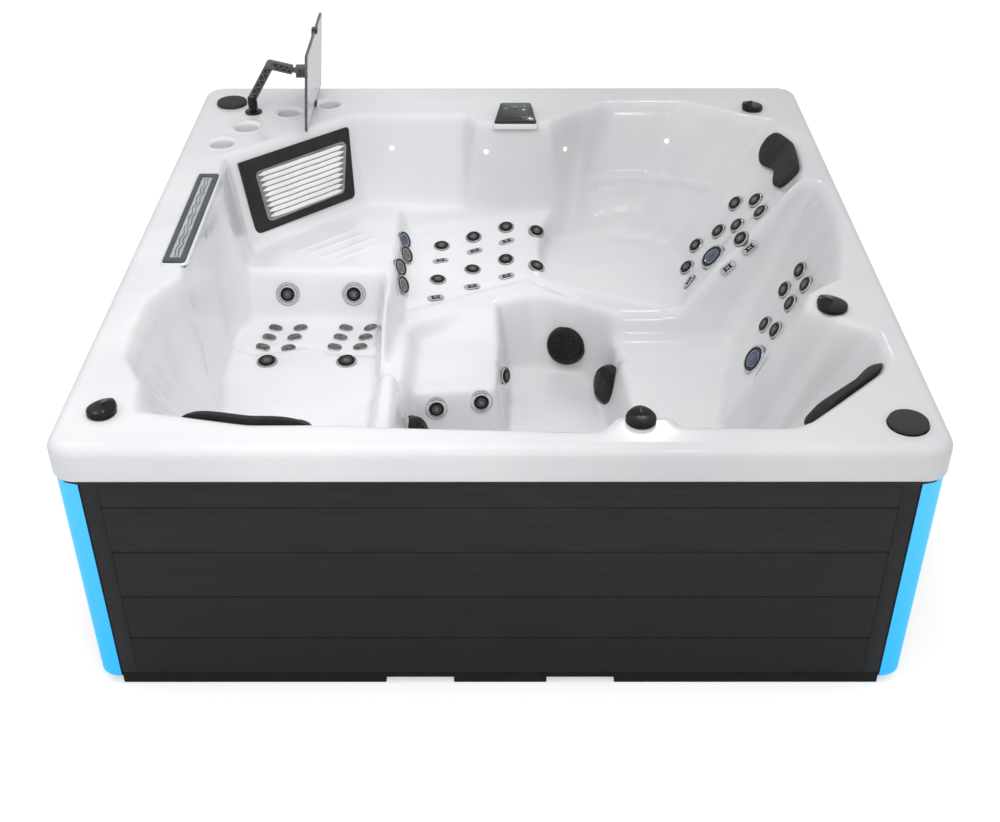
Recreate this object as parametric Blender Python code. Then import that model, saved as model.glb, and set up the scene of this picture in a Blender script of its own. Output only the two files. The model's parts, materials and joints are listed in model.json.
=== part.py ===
# A five-seat hot tub: acrylic shell, boarded cabinet with lit corners, fittings and equipment.
# Metres. The origin is on the ground below the middle, +X right, +Y back, +Z up.
import math

import bmesh
import bpy
from mathutils import Matrix, Vector
from mathutils.bvhtree import BVHTree

# Overall sizes
TUB_WIDTH = 2.20
TUB_DEPTH = 2.28
RIM_HEIGHT = 0.81
HALF_WIDTH = TUB_WIDTH / 2
HALF_DEPTH = TUB_DEPTH / 2

# Clearances and cuts
GAP = 0.0003
SLIDE_GAP = 0.0008
OVERRUN = 0.03
SEAT_IN = 0.0015

# Shell
WALL = 0.012
LIP_HEIGHT = 0.097
EDGE_RADIUS = 0.03
CORNER_RADIUS = 0.07

# Floors of the hollows, as shares of the rim height
LEDGE_SHARE = 0.6173
ARMREST_SHARE = 0.5802
SHOULDER_SHARE = 0.463
LEFT_SEAT_SHARE = 0.4259
RIGHT_SEAT_SHARE = 0.3704
RIGHT_BACK_SHARE = 0.4938
LOUNGER_SEAT_SHARE = 0.4691
LEG_FRONT_SHARE = 0.4506
LEG_MIDDLE_SHARE = 0.4877
LEG_BACK_LEFT_SHARE = 0.5309
LEG_BACK_RIGHT_SHARE = 0.5988
STEP_SHARE = 0.3765
FOOTWELL_SHARE = 0.1481
FOOTWELL_TOP_SHARE = 0.5185
LEG_TOP_SHARE = 0.7407
LEDGE_LEVEL = RIM_HEIGHT * LEDGE_SHARE
ARMREST_LEVEL = RIM_HEIGHT * ARMREST_SHARE
SHOULDER_LEVEL = RIM_HEIGHT * SHOULDER_SHARE
LEFT_SEAT_LEVEL = RIM_HEIGHT * LEFT_SEAT_SHARE
RIGHT_SEAT_LEVEL = RIM_HEIGHT * RIGHT_SEAT_SHARE
RIGHT_BACK_LEVEL = RIM_HEIGHT * RIGHT_BACK_SHARE
LOUNGER_SEAT_LEVEL = RIM_HEIGHT * LOUNGER_SEAT_SHARE
LEG_FRONT_LEVEL = RIM_HEIGHT * LEG_FRONT_SHARE
LEG_MIDDLE_LEVEL = RIM_HEIGHT * LEG_MIDDLE_SHARE
LEG_BACK_LEFT_LEVEL = RIM_HEIGHT * LEG_BACK_LEFT_SHARE
LEG_BACK_RIGHT_LEVEL = RIM_HEIGHT * LEG_BACK_RIGHT_SHARE
STEP_LEVEL = RIM_HEIGHT * STEP_SHARE
FOOTWELL_LEVEL = RIM_HEIGHT * FOOTWELL_SHARE
FOOTWELL_TOP_LEVEL = RIM_HEIGHT * FOOTWELL_TOP_SHARE
LEG_TOP_LEVEL = RIM_HEIGHT * LEG_TOP_SHARE

# Outlines of the hollows, as shares of the half width and the half depth, anticlockwise from above
LEDGE_FLOOR_SHARES = (
    (-0.709, -0.175), (0.273, -0.175), (0.227, 0.680), (0.164, 0.671), (-0.068, 0.671),
    (-0.118, 0.675), (-0.455, 0.675), (-0.468, 0.671), (-0.784, 0.368), (-0.786, 0.289),
    (-0.782, 0.250),
)
LEDGE_TOP_SHARES = (
    (-0.800, -0.219), (0.273, -0.184), (0.205, 0.732), (0.155, 0.680), (-0.073, 0.689),
    (-0.123, 0.759), (-0.468, 0.761), (-0.486, 0.750), (-0.841, 0.452), (-0.835, 0.351),
    (-0.829, 0.000),
)
LEFT_FLOOR_SHARES = (
    (-0.350, -0.439), (-0.350, -0.175), (-0.355, 0.195), (-0.775, 0.189), (-0.841, 0.061),
    (-0.818, -0.088), (-0.782, -0.263), (-0.777, -0.316), (-0.773, -0.368), (-0.764, -0.404),
    (-0.755, -0.430), (-0.727, -0.439), (-0.545, -0.439),
)
LEFT_MIDDLE_SHARES = (
    (-0.341, -0.579), (-0.341, -0.175), (-0.368, 0.247), (-0.779, 0.250), (-0.827, 0.132),
    (-0.823, -0.088), (-0.818, -0.263), (-0.845, -0.351), (-0.845, -0.439), (-0.827, -0.509),
    (-0.800, -0.553), (-0.773, -0.579), (-0.564, -0.579),
)
LEFT_TOP_SHARES = (
    (-0.305, -0.908), (-0.318, -0.175), (-0.364, 0.247), (-0.823, 0.250), (-0.829, 0.132),
    (-0.823, -0.088), (-0.823, -0.259), (-0.894, -0.384), (-0.900, -0.526), (-0.895, -0.632),
    (-0.838, -0.737), (-0.823, -0.855), (-0.564, -0.908),
)
LEGS_FLOOR_SHARES = (
    (-0.300, 0.088), (0.118, 0.281), (0.150, 0.395), (0.150, 0.662), (-0.314, 0.632),
)
LEGS_TOP_SHARES = (
    (-0.345, 0.088), (0.118, 0.088), (0.273, 0.395), (0.200, 0.668), (-0.350, 0.662),
)
LOUNGER_FLOOR_SHARES = (
    (0.127, 0.325), (0.545, 0.175), (0.582, 0.368), (0.586, 0.491), (0.555, 0.596), (0.500, 0.645),
    (0.418, 0.658), (0.327, 0.658), (0.255, 0.649), (0.200, 0.640), (0.159, 0.614), (0.136, 0.526),
)
LOUNGER_TOP_SHARES = (
    (0.091, 0.044), (0.900, 0.303), (0.927, 0.395), (0.936, 0.544), (0.877, 0.719), (0.782, 0.754),
    (0.691, 0.816), (0.600, 0.860), (0.364, 0.860), (0.273, 0.807), (0.191, 0.728), (0.091, 0.526),
)
RIGHT_FLOOR_SHARES = (
    (0.327, -0.368), (0.586, -0.360), (0.611, -0.294), (0.623, -0.237), (0.650, -0.088),
    (0.695, 0.053), (0.709, 0.105), (0.686, 0.140), (0.327, 0.140),
)
RIGHT_MIDDLE_SHARES = (
    (0.327, -0.368), (0.627, -0.364), (0.668, -0.289), (0.695, -0.237), (0.727, -0.088),
    (0.768, 0.053), (0.768, 0.149), (0.727, 0.189), (0.327, 0.197),
)
RIGHT_TOP_SHARES = (
    (0.327, -0.526), (0.769, -0.419), (0.795, -0.338), (0.891, -0.263), (0.936, -0.088),
    (0.955, 0.088), (0.953, 0.219), (0.941, 0.281), (0.327, 0.333),
)
CORNER_FLOOR_SHARES = (
    (0.327, -0.702), (0.509, -0.702), (0.600, -0.667), (0.627, -0.632), (0.645, -0.596),
    (0.659, -0.526), (0.650, -0.412), (0.623, -0.307), (0.327, -0.333),
)
CORNER_TOP_SHARES = (
    (0.405, -0.908), (0.655, -0.912), (0.700, -0.890), (0.905, -0.693), (0.927, -0.649),
    (0.927, -0.535), (0.845, -0.487), (0.771, -0.423), (0.327, -0.289),
)
MIDDLE_SHARES = (
    (-0.355, -0.246), (0.364, -0.250), (0.509, 0.211), (0.155, 0.355), (-0.327, 0.114),
)
FRONT_FLOOR_SHARES = (
    (-0.364, -0.816), (0.245, -0.816), (0.273, -0.789), (0.364, -0.789), (0.400, -0.219),
    (-0.364, -0.219),
)
FRONT_TOP_SHARES = (
    (-0.309, -0.904), (0.214, -0.925), (0.259, -0.864), (0.418, -0.868), (0.427, -0.211),
    (-0.364, -0.211),
)
FOOTWELL_FLOOR_SHARES = (
    (0.018, 0.219), (0.009, -0.114), (-0.005, -0.145), (-0.245, -0.167), (-0.227, -0.702),
    (0.336, -0.702), (0.336, -0.175), (0.314, 0.105), (0.273, 0.189), (0.100, 0.224),
)
FOOTWELL_TOP_SHARES = (
    (-0.005, 0.263), (-0.005, -0.105), (-0.018, -0.127), (-0.282, -0.158), (-0.273, -0.833),
    (0.414, -0.833), (0.395, -0.263), (0.373, 0.088), (0.355, 0.175), (0.091, 0.311),
)
STEP_FLOOR_SHARES = (
    (-0.259, -0.175), (0.027, -0.175), (0.027, 0.132), (-0.255, 0.123),
)
STEP_TOP_SHARES = (
    (-0.282, -0.193), (0.027, -0.193), (0.027, 0.281), (-0.284, 0.127),
)

# Base and frame
BASE_SIDE_INSET = 0.07
BASE_FRONT_INSET = 0.02
BASE_WIDTH = TUB_WIDTH - BASE_SIDE_INSET * 2
BASE_DEPTH = TUB_DEPTH - BASE_FRONT_INSET * 2
BASE_HEIGHT = 0.045
BASE_FLOOR = 0.028
BASE_EDGE = 0.02
CHANNEL_HEIGHT = 0.02
CHANNEL_INNER_SHARE = 0.115
CHANNEL_OUTER_SHARE = 0.283
FRAME_TOP = RIM_HEIGHT - LIP_HEIGHT - GAP
FLANGE_THICKNESS = 0.012
FLANGE_OVERHANG = 0.009
FLANGE_WIDTH = 0.062
POST_WIDTH = 0.042
RAIL_HEIGHT = 0.04
MIDDLE_RAIL_LEVEL = 0.36
BEAM_SHARES = (-0.544, -0.044)
BEAM_WIDTH = 0.04

# Panels and corner lights
CABINET_INSET = 0.015
CABINET_HALF_WIDTH = HALF_WIDTH - CABINET_INSET
CABINET_HALF_DEPTH = HALF_DEPTH - CABINET_INSET
POST_SETBACK = 0.101
POST_INNER = CABINET_HALF_WIDTH - POST_SETBACK
PANEL_THICKNESS = 0.012
GROOVE_SHARES = (0.2148, 0.3975, 0.5864, 0.7667)
GROOVE_WIDTH = 0.007
GROOVE_DEPTH = 0.004
LIGHT_RADIUS = 0.05
LIGHT_WALL = 0.004
LIGHT_FOOT = 0.03
LIGHT_SEAM = 0.0035
LIGHT_STEPS = 6

# Filter set
FILTER_LEFT = 0.026
FILTER_TOP = 0.032
FILTER_TOP_WIDTH = 0.461
FILTER_FOOT_WIDTH = 0.42
FILTER_HEIGHT = 0.25
FILTER_THICKNESS = 0.014
FILTER_SUNK = 0.006
GRILLE_LEFT_MARGIN = 0.054
GRILLE_RIGHT_MARGIN = 0.042
GRILLE_TOP_MARGIN = 0.056
GRILLE_FOOT_MARGIN = 0.039
GRILLE_TAPER = 0.024
GRILLE_LEFT = FILTER_LEFT + GRILLE_LEFT_MARGIN
GRILLE_TOP = FILTER_TOP + GRILLE_TOP_MARGIN
GRILLE_TOP_WIDTH = FILTER_TOP_WIDTH - GRILLE_LEFT_MARGIN - GRILLE_RIGHT_MARGIN
GRILLE_FOOT_WIDTH = FILTER_FOOT_WIDTH - GRILLE_LEFT_MARGIN - GRILLE_RIGHT_MARGIN - GRILLE_TAPER
GRILLE_HEIGHT = FILTER_HEIGHT - GRILLE_TOP_MARGIN - GRILLE_FOOT_MARGIN
GRILLE_EDGE = 0.012
GRILLE_THICKNESS = 0.008
LOUVRES = 9
LOUVRE_THICKNESS = 0.005
DUCT_WALL = 0.005
DUCT_WIDTH = 0.13
DUCT_HEIGHT = 0.09
CANISTER_SHARES = (-0.786, 0.738)
CANISTER_RADIUS = 0.088
CANISTER_FOOT = 0.36
CANISTER_DROP = 0.075
CANISTER_TOP = RIM_HEIGHT - CANISTER_DROP
OUTLET_RADIUS = 0.03
OUTLET_FOOT = 0.30
CARTRIDGE_RADIUS = 0.062
CARTRIDGE_CORE = 0.026
CARTRIDGE_FOOT = CANISTER_FOOT + DUCT_WALL + GAP * 2
CARTRIDGE_ROOM = 0.035
CARTRIDGE_TOP = CANISTER_TOP - CARTRIDGE_ROOM
CARTRIDGE_CAP = 0.012
PLEATS = 10
PLEAT_DEPTH = 0.014
FLAP_WIDTH = 0.12
FLAP_HEIGHT = 0.076
FLAP_THICKNESS = 0.005
FLAP_PIN_RADIUS = 0.004
FLAP_BEHIND = 0.075
FLAP_DOWN = 0.009

# Rim fittings
CUP_SHARES = ((-0.874, 0.546), (-0.815, 0.667), (-0.695, 0.783), (-0.571, 0.848))
CUP_RADIUS = 0.038
CUP_DEPTH = 0.062
CUP_WALL = 0.004
CUP_RING = 0.053
CUP_RING_DEPTH = 0.004
SPEAKER_SHARES = ((-0.893, 0.849), (0.906, -0.907))
SPEAKER_CAP_RADIUS = 0.05
SPEAKER_CAP_THICKNESS = 0.012
SPEAKER_CAN_RADIUS = 0.0405
SPEAKER_CAN_DEPTH = 0.074
WELL_DEPTH = 0.083
WELL_FLOOR = RIM_HEIGHT - WELL_DEPTH
KNOB_SHARES = ((-0.895, -0.864), (0.314, -0.895), (0.838, -0.425), (0.83, 0.804))
KNOB_SIZES = (0.037, 0.037, 0.042, 0.034)
KNOB_TURNS = (35, 90, 150, 200)
KNOB_HEIGHT = 0.02
KNOB_TOP_SHARE = 0.82
KNOB_SHOULDER_SHARE = 0.86
KNOB_GRIP_SHARE = 0.92
KNOB_GRIP_WIDTH = 0.016
KNOB_GRIP_HEIGHT = 0.006
KNOB_BORE = 0.0125
KNOB_BORE_DEPTH = 0.012
VALVE_STEM_RADIUS = 0.0117
VALVE_RADIUS = 0.018
VALVE_FLANGE_RADIUS = 0.0225
VALVE_FLANGE_THICKNESS = 0.008
VALVE_LENGTH = 0.14
VALVE_FOOT = RIM_HEIGHT - VALVE_LENGTH
PORT_RADIUS = 0.013
PORT_REACH = 0.045
WATERFALL_SHARES = (-0.901, -0.841)
WATERFALL_LENGTH = 0.596
WATERFALL_MIDDLE_SHARE = 0.0553
WATERFALL_LEFT = HALF_WIDTH * WATERFALL_SHARES[0]
WATERFALL_RIGHT = HALF_WIDTH * WATERFALL_SHARES[1]
WATERFALL_FRONT = HALF_DEPTH * WATERFALL_MIDDLE_SHARE - WATERFALL_LENGTH / 2
WATERFALL_BACK = WATERFALL_FRONT + WATERFALL_LENGTH
WATERFALL_HEIGHT = 0.011
WATERFALL_CORNER = 0.012
WATERFALL_RECESS_INSET = 0.012
WATERFALL_RECESS_DEPTH = 0.004
WATERFALL_BODY_INSET = 0.021
WATERFALL_BODY_DEPTH = 0.065
WATERFALL_BODY_FOOT = RIM_HEIGHT - WATERFALL_BODY_DEPTH

# Control panel
CONTROL_INSET = 0.232
CONTROL_DEPTH = 0.131
CONTROL_BACK = HALF_DEPTH - CONTROL_INSET
CONTROL_FRONT = CONTROL_BACK - CONTROL_DEPTH
CONTROL_BACK_LEFT = 0.0
CONTROL_BACK_RIGHT = 0.11
CONTROL_FRONT_LEFT = -0.022
CONTROL_FRONT_RIGHT = 0.128
CONTROL_FRONT_RISE = 0.013
CONTROL_BACK_RISE = 0.03
CONTROL_FRONT_TOP = RIM_HEIGHT + CONTROL_FRONT_RISE
CONTROL_BACK_TOP = RIM_HEIGHT + CONTROL_BACK_RISE
CONTROL_BODY_INSET = 0.018
CONTROL_BODY_DEPTH = 0.035
CONTROL_BODY_FOOT = RIM_HEIGHT - CONTROL_BODY_DEPTH
BUTTON_RADIUS = 0.0062
BUTTON_HEIGHT = 0.007
BUTTON_PROUD = 0.0014
BUTTON_ROOM = 0.002
BUTTON_SHARES = ((0.18, 0.4), (0.38, 0.4), (0.58, 0.4), (0.78, 0.4), (0.48, 0.68), (0.74, 0.72))

# Tablet arm
ARM_SHARES = (-0.811, 0.781)
ARM_BASE_RADIUS = 0.031
ARM_BASE_THICKNESS = 0.009
ARM_POST_RADIUS = 0.012
ARM_POST_HEIGHT = 0.052
ARM_POST_TOP = RIM_HEIGHT + ARM_POST_HEIGHT
ARM_SCREW_RADIUS = 0.008
ARM_SCREW_LENGTH = 0.025
ARM_SCREW_FOOT = RIM_HEIGHT - ARM_SCREW_LENGTH
ARM_COLLAR_RADIUS = 0.02
ARM_X = HALF_WIDTH * ARM_SHARES[0]
ARM_Y = HALF_DEPTH * ARM_SHARES[1]
ELBOW_REACH = 0.0771
ELBOW_X = ARM_X + ELBOW_REACH
ELBOW_RISE = 0.179
ELBOW_LEVEL = RIM_HEIGHT + ELBOW_RISE
WRIST_REACH = 0.1761
WRIST_X = ARM_X + WRIST_REACH
WRIST_RISE = 0.155
WRIST_LEVEL = RIM_HEIGHT + WRIST_RISE
LOWER_ARM_WIDTH = 0.034
LOWER_ARM_THICKNESS = 0.012
UPPER_ARM_WIDTH = 0.036
UPPER_ARM_THICKNESS = 0.026
ELBOW_RADIUS = 0.019
ELBOW_PIN_RADIUS = 0.006
TRUSS_MARGIN = 0.006
WRIST_RADIUS = 0.011
WRIST_HEIGHT = 0.024
PAN_PIN_RADIUS = 0.006
PAN_PLATE = 0.006
PAN_HALF_DEPTH = 0.017
PAN_BACK = 0.0095
PAN_FRONT = 0.034
TILT_OFFSET = 0.027
TILT_PIN_RADIUS = 0.005
TILT_PIN_HALF = 0.03
SCREEN_WIDTH = 0.44
SCREEN_HEIGHT = 0.277
SCREEN_THICKNESS = 0.009
SCREEN_LEAN = 4.8
SCREEN_CORNER = 0.008
SCREEN_REACH = 0.2266
SCREEN_SETBACK = 0.0097
SCREEN_X = ARM_X + SCREEN_REACH
SCREEN_Y = ARM_Y + SCREEN_SETBACK
SCREEN_DROP = 0.0035
SCREEN_LEVEL = WRIST_LEVEL - SCREEN_DROP
CLAMP_CENTRE = 0.035
CLAMP_WIDTH = 0.026
CLAMP_THICKNESS = 0.005
CLAMP_GRIP = 0.012
LUG_INNER = 0.0185
LUG_OUTER = 0.0285
LUG_HALF_HEIGHT = 0.009

# Drain covers: place as shares, the height a share of the rim height
COVER_RADIUS = 0.06
COVER_THICKNESS = 0.02
COVER_NECK_RADIUS = 0.03
COVER_NECK_DEPTH = 0.045
COVER_RIB_WIDTH = 0.005
COVER_RIB_HEIGHT = 0.004
COVER_RIB_SHARES = (-0.45, 0, 0.45)
COVER_SHARES = ((0.208, 0.23, 0.268), (0.33, 0.058, 0.245), (-0.24, -0.26, 0.28))

# Equipment
MOTOR_RADIUS = 0.075
MOTOR_LENGTH = 0.25
WET_END_RADIUS = 0.095
WET_END_LENGTH = 0.09
PUMP_AXIS_LEVEL = 0.16
PUMP_FOOT_THICKNESS = 0.012
PUMP_FOOT_WIDTH = 0.15
PUMP_PORT_RADIUS = 0.03
PUMP_PORT_REACH = 0.05
PUMP_SHARES = ((-0.72, 0.36), (-0.72, 0.60))
SPA_PACK_INSET = 0.15
SPA_PACK_LEFT = SPA_PACK_INSET - HALF_WIDTH
SPA_PACK_WIDTH = 0.38
SPA_PACK_FRONT = 0.0
SPA_PACK_DEPTH = 0.15
SPA_PACK_HEIGHT = 0.2
HEATER_RADIUS = 0.03
HEATER_OVERHANG = 0.05
BLOWER_SHARES = (-0.40, 0.44)
BLOWER_RADIUS = 0.08
BLOWER_HEIGHT = 0.14
BLOWER_PORT_RADIUS = 0.02

# Pillows: each follows the wall round a centre, between two angles in degrees
PILLOW_STEPS = 12
PILLOW_ROWS = 4
PILLOW_TAPER = 0.5
PILLOW_POWER = 2.6
PILLOW_EDGE = 0.012
PILLOW_CLEARANCE = 0.0012
PILLOW_THICKNESS = 0.05
PILLOW_ANGLES = {
    "pillow_lounger": (-22, 42),
    "pillow_corner": (-56, -9),
    "pillow_left": (-112, -70),
}
PILLOW_CENTRE_SHARES = {
    "pillow_lounger": (0.55, 0.42),
    "pillow_corner": (0.5, -0.62),
    "pillow_left": (-0.56, -0.5),
}
# The top, the foot and the thickness
PILLOW_SIZE_SHARES = {
    "pillow_lounger": (0.984, 0.837, 1.0),
    "pillow_corner": (0.984, 0.827, 0.7),
    "pillow_left": (0.984, 0.84, 0.7),
}

# Jets: places as shares of the half width, half depth and rim height
JET_RADIUS = 0.024
JET_PROUD = 0.005
JET_NOZZLE_SHARE = 0.6
JET_DEEP_SHARE = 0.35
BARREL_RADIUS = 0.011
BARREL_DEPTH = 0.042
MANIFOLD_RADIUS = 0.0085
PIPE_STEP_SHARE = 0.9
PIPE_TURN = 17
SLOT_LENGTH = 0.046
SLOT_WIDTH = 0.026
BIG_RADIUS = 0.0385
LARGE_RADIUS = 0.046
FACE_SHARE = 0.72
FACE_DEPTH = 0.004
FACE_PIN_RADIUS = 0.004
FACE_PIN_DEPTH = 0.012
CALF_GROUP_SHARES = (-0.6882, -0.4727)
CALF_FIRST = 0.157
CALF_COLUMN = 0.084
CALF_ROW = 0.059
CALF_SHIFT = 0.013
CALF_ROWS = 3
CALF_ROUND_SHARES = ((-0.688, -0.041, 0.426), (-0.454, -0.041, 0.426))
CALF_BIG_SHARES = ((-0.655, 0.221, 0.526), (-0.452, 0.221, 0.526))
CALF_DROP = 0.12
DIVIDER_JET_SHARES = (
    ("round", (-0.32, 0.5, 0.565)),
    ("round", (-0.316, 0.44, 0.535)),
    ("round", (-0.317, 0.32, 0.572)),
    ("round", (-0.315, 0.262, 0.53)),
)
LEG_JET_SHARES = (
    ("round", (-0.194, 0.538, 0.511)),
    ("round", (-0.089, 0.569, 0.534)),
    ("round", (0.018, 0.601, 0.559)),
    ("round", (0.118, 0.574, 0.559)),
    ("slot", (0.02, 0.539, 0.533)),
    ("round", (0.118, 0.43, 0.499)),
    ("round", (0.017, 0.462, 0.501)),
    ("slot", (0.019, 0.387, 0.477)),
    ("slot", (-0.09, 0.33, 0.471)),
    ("slot", (-0.203, 0.266, 0.469)),
    ("round", (-0.199, 0.358, 0.482)),
    ("round", (-0.09, 0.419, 0.484)),
    ("slot", (-0.085, 0.508, 0.508)),
    ("slot", (-0.195, 0.459, 0.496)),
)
BACK_JET_SHARES = (
    ("slot", (0.755, 0.238, 0.729)),
    ("slot", (0.693, 0.225, 0.645)),
    ("round", (0.735, 0.266, 0.746)),
    ("round", (0.796, 0.323, 0.827)),
    ("round", (0.801, 0.433, 0.803)),
    ("round", (0.743, 0.388, 0.717)),
    ("round", (0.757, 0.517, 0.729)),
    ("round", (0.698, 0.449, 0.644)),
    ("round", (0.637, 0.485, 0.548)),
    ("large", (0.665, 0.316, 0.619)),
    ("round", (0.6, 0.41, 0.5)),
    ("slot", (0.596, 0.306, 0.511)),
)
RIGHT_JET_SHARES = (
    ("round", (0.869, 0.035, 0.779)),
    ("round", (0.859, -0.085, 0.813)),
    ("round", (0.824, -0.081, 0.725)),
    ("round", (0.835, 0.048, 0.681)),
    ("round", (0.78, 0.0, 0.56)),
    ("round", (0.78, -0.133, 0.65)),
    ("large", (0.729, -0.152, 0.533)),
)
FOOT_JET_SHARES = (
    ("round", (-0.186, -0.155, 0.308)),
    ("round", (-0.055, -0.148, 0.325)),
    ("round", (0.005, 0.02, 0.3)),
)

# Sides of turned pieces
ROUND_SIDES = 16
PLAIN_SIDES = 10
JET_SIDES = 8
BARREL_SIDES = 6
PIPE_SIDES = 4
SHARP_ANGLE = 38
FLAT_ANGLE = 0.05


LOOKS = {
    "acrylic": ((0.80, 0.81, 0.83), 0.22, 0.0, 0.0),
    "tray": ((0.045, 0.045, 0.05), 0.7, 0.0, 0.0),
    "frame": ((0.05, 0.05, 0.055), 0.55, 0.0, 0.0),
    "board": ((0.03, 0.032, 0.037), 0.6, 0.0, 0.0),
    "diffuser": ((0.30, 0.76, 1.0), 0.4, 0.0, 1.0),
    "faceplate": ((0.045, 0.045, 0.05), 0.5, 0.0, 0.0),
    "grille": ((0.78, 0.79, 0.80), 0.4, 0.0, 0.0),
    "flap": ((0.10, 0.10, 0.11), 0.5, 0.0, 0.0),
    "housing": ((0.72, 0.72, 0.72), 0.5, 0.0, 0.0),
    "filter": ((0.75, 0.82, 0.88), 0.9, 0.0, 0.0),
    "pillow": ((0.03, 0.031, 0.035), 0.8, 0.0, 0.0),
    "spout": ((0.14, 0.16, 0.19), 0.4, 0.0, 0.0),
    "control": ((0.02, 0.02, 0.022), 0.3, 0.0, 0.0),
    "button": ((0.06, 0.06, 0.065), 0.45, 0.0, 0.0),
    "arm": ((0.10, 0.10, 0.11), 0.45, 0.6, 0.0),
    "holder": ((0.08, 0.08, 0.09), 0.5, 0.0, 0.0),
    "screen": ((0.45, 0.46, 0.48), 0.2, 0.2, 0.0),
    "fitting": ((0.02, 0.02, 0.022), 0.35, 0.0, 0.0),
    "valve": ((0.70, 0.70, 0.70), 0.5, 0.0, 0.0),
    "cover": ((0.03, 0.03, 0.032), 0.5, 0.0, 0.0),
    "motor": ((0.10, 0.11, 0.13), 0.5, 0.3, 0.0),
    "box": ((0.35, 0.36, 0.38), 0.5, 0.6, 0.0),
    "jet": ((0.06, 0.06, 0.065), 0.35, 0.0, 0.0),
    "jet_face": ((0.05, 0.05, 0.055), 0.35, 0.0, 0.0),
}


def clear_scene():
    for item in list(bpy.data.objects):
        bpy.data.objects.remove(item)


def material(name):
    made = bpy.data.materials.get(name)
    if made:
        return made
    colour, roughness, metallic, glow = LOOKS[name]
    made = bpy.data.materials.new(name)
    made.use_nodes = True
    inputs = made.node_tree.nodes["Principled BSDF"].inputs
    inputs["Base Color"].default_value = (*colour, 1)
    inputs["Roughness"].default_value = roughness
    inputs["Metallic"].default_value = metallic
    inputs["Emission Color"].default_value = (*colour, 1)
    inputs["Emission Strength"].default_value = glow
    return made


def plan(shares, level):
    """Points of an outline. The level is one height, or one for each point."""
    levels = level if isinstance(level, tuple) else (level,) * len(shares)
    return [at_shares(spot, z) for spot, z in zip(shares, levels)]


def at_shares(spot, level):
    return Vector((spot[0] * HALF_WIDTH, spot[1] * HALF_DEPTH, level))


def mesh_object(name, points, faces):
    mesh = bpy.data.meshes.new(name)
    mesh.from_pydata([tuple(p) for p in points], [], faces)
    grid = bmesh.new()
    grid.from_mesh(mesh)
    bmesh.ops.triangulate(grid, faces=grid.faces)
    bmesh.ops.recalc_face_normals(grid, faces=grid.faces)
    grid.to_mesh(mesh)
    grid.free()
    made = bpy.data.objects.new(name, mesh)
    bpy.context.scene.collection.objects.link(made)
    return made


def loft(name, loops):
    """A closed solid through loops of equal length, listed from one end to the other."""
    count = len(loops[0])
    points = [p for loop in loops for p in loop]
    faces = [tuple(reversed(range(count)))]
    for level in range(len(loops) - 1):
        start = level * count
        for i in range(count):
            j = (i + 1) % count
            faces.append((start + i, start + j, start + count + j, start + count + i))
    faces.append(tuple(range(len(points) - count, len(points))))
    return mesh_object(name, points, faces)


def circle(radius, level, sides):
    angles = [math.tau * i / sides for i in range(sides)]
    return [Vector((radius * math.cos(a), radius * math.sin(a), level)) for a in angles]


def turned(name, rings, sides, place=None):
    """A solid turned about its own Z axis from (radius, height) rings, end to end."""
    made = loft(name, [circle(radius, level, sides) for radius, level in rings])
    if place:
        made.matrix_world = place
    return made


def facing(spot, direction):
    """The placement that puts a piece at the spot with its Z axis along the direction."""
    turn = Vector(direction).to_track_quat("Z", "Y").to_matrix().to_4x4()
    return Matrix.Translation(spot) @ turn


def rod(name, start, end, radius, sides, turn=0):
    line = Vector(end) - Vector(start)
    rings = [(radius, 0), (radius, line.length)]
    place = facing(start, line) @ Matrix.Rotation(math.radians(turn), 4, "Z")
    return turned(name, rings, sides, place)


def prism(name, outline, rise):
    return loft(name, [outline, [p + Vector(rise) for p in outline]])


def block(name, low, high):
    corners = [(low[0], low[1]), (high[0], low[1]), (high[0], high[1]), (low[0], high[1])]
    loops = [[Vector((x, y, z)) for x, y in corners] for z in (low[2], high[2])]
    return loft(name, loops)


def widened(loop, margin):
    """The outline moved outwards in plan by the margin."""
    moved = []
    for i, here in enumerate(loop):
        before = (here - loop[i - 1]).xy.normalized()
        after = (loop[(i + 1) % len(loop)] - here).xy.normalized()
        middle = Vector((before.y + after.y, -before.x - after.x))
        reach = margin * 2 / max(middle.length_squared, 1.0)
        moved.append(here + Vector((middle.x * reach, middle.y * reach, 0)))
    return moved


def bake(target):
    """Replaces an object's mesh by what its modifiers make of it."""
    graph = bpy.context.evaluated_depsgraph_get()
    made = bpy.data.meshes.new_from_object(target.evaluated_get(graph))
    target.modifiers.clear()
    target.data = made
    return target


def combine(target, other, operation):
    step = target.modifiers.new(operation.lower(), "BOOLEAN")
    step.operation = operation
    step.object = other
    bake(target)
    bpy.data.objects.remove(other)
    return target


def cut(target, other):
    return combine(target, other, "DIFFERENCE")


def fuse(target, other):
    return combine(target, other, "UNION")


def merge_flat(made):
    """Joins the triangles that Booleans leave side by side in one plane."""
    grid = bmesh.new()
    grid.from_mesh(made.data)
    limit = math.radians(FLAT_ANGLE)
    bmesh.ops.dissolve_limit(grid, angle_limit=limit, verts=grid.verts, edges=grid.edges)
    bmesh.ops.triangulate(grid, faces=grid.faces)
    grid.to_mesh(made.data)
    grid.free()
    return made


def finish(made, look):
    merge_flat(made)
    made.data.materials.clear()
    made.data.materials.append(material(look))
    made.data.shade_smooth()
    made.data.set_sharp_from_angle(angle=math.radians(SHARP_ANGLE))
    return made


def rounded_rectangle(half_x, half_y, radius, level, steps=6):
    points = []
    for turn, (side_x, side_y) in enumerate(((1, 1), (-1, 1), (-1, -1), (1, -1))):
        centre = Vector((side_x * (half_x - radius), side_y * (half_y - radius), level))
        for i in range(steps + 1):
            angle = math.radians(90) * (turn + i / steps)
            points.append(centre + Vector((math.cos(angle), math.sin(angle), 0)) * radius)
    return points


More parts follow.
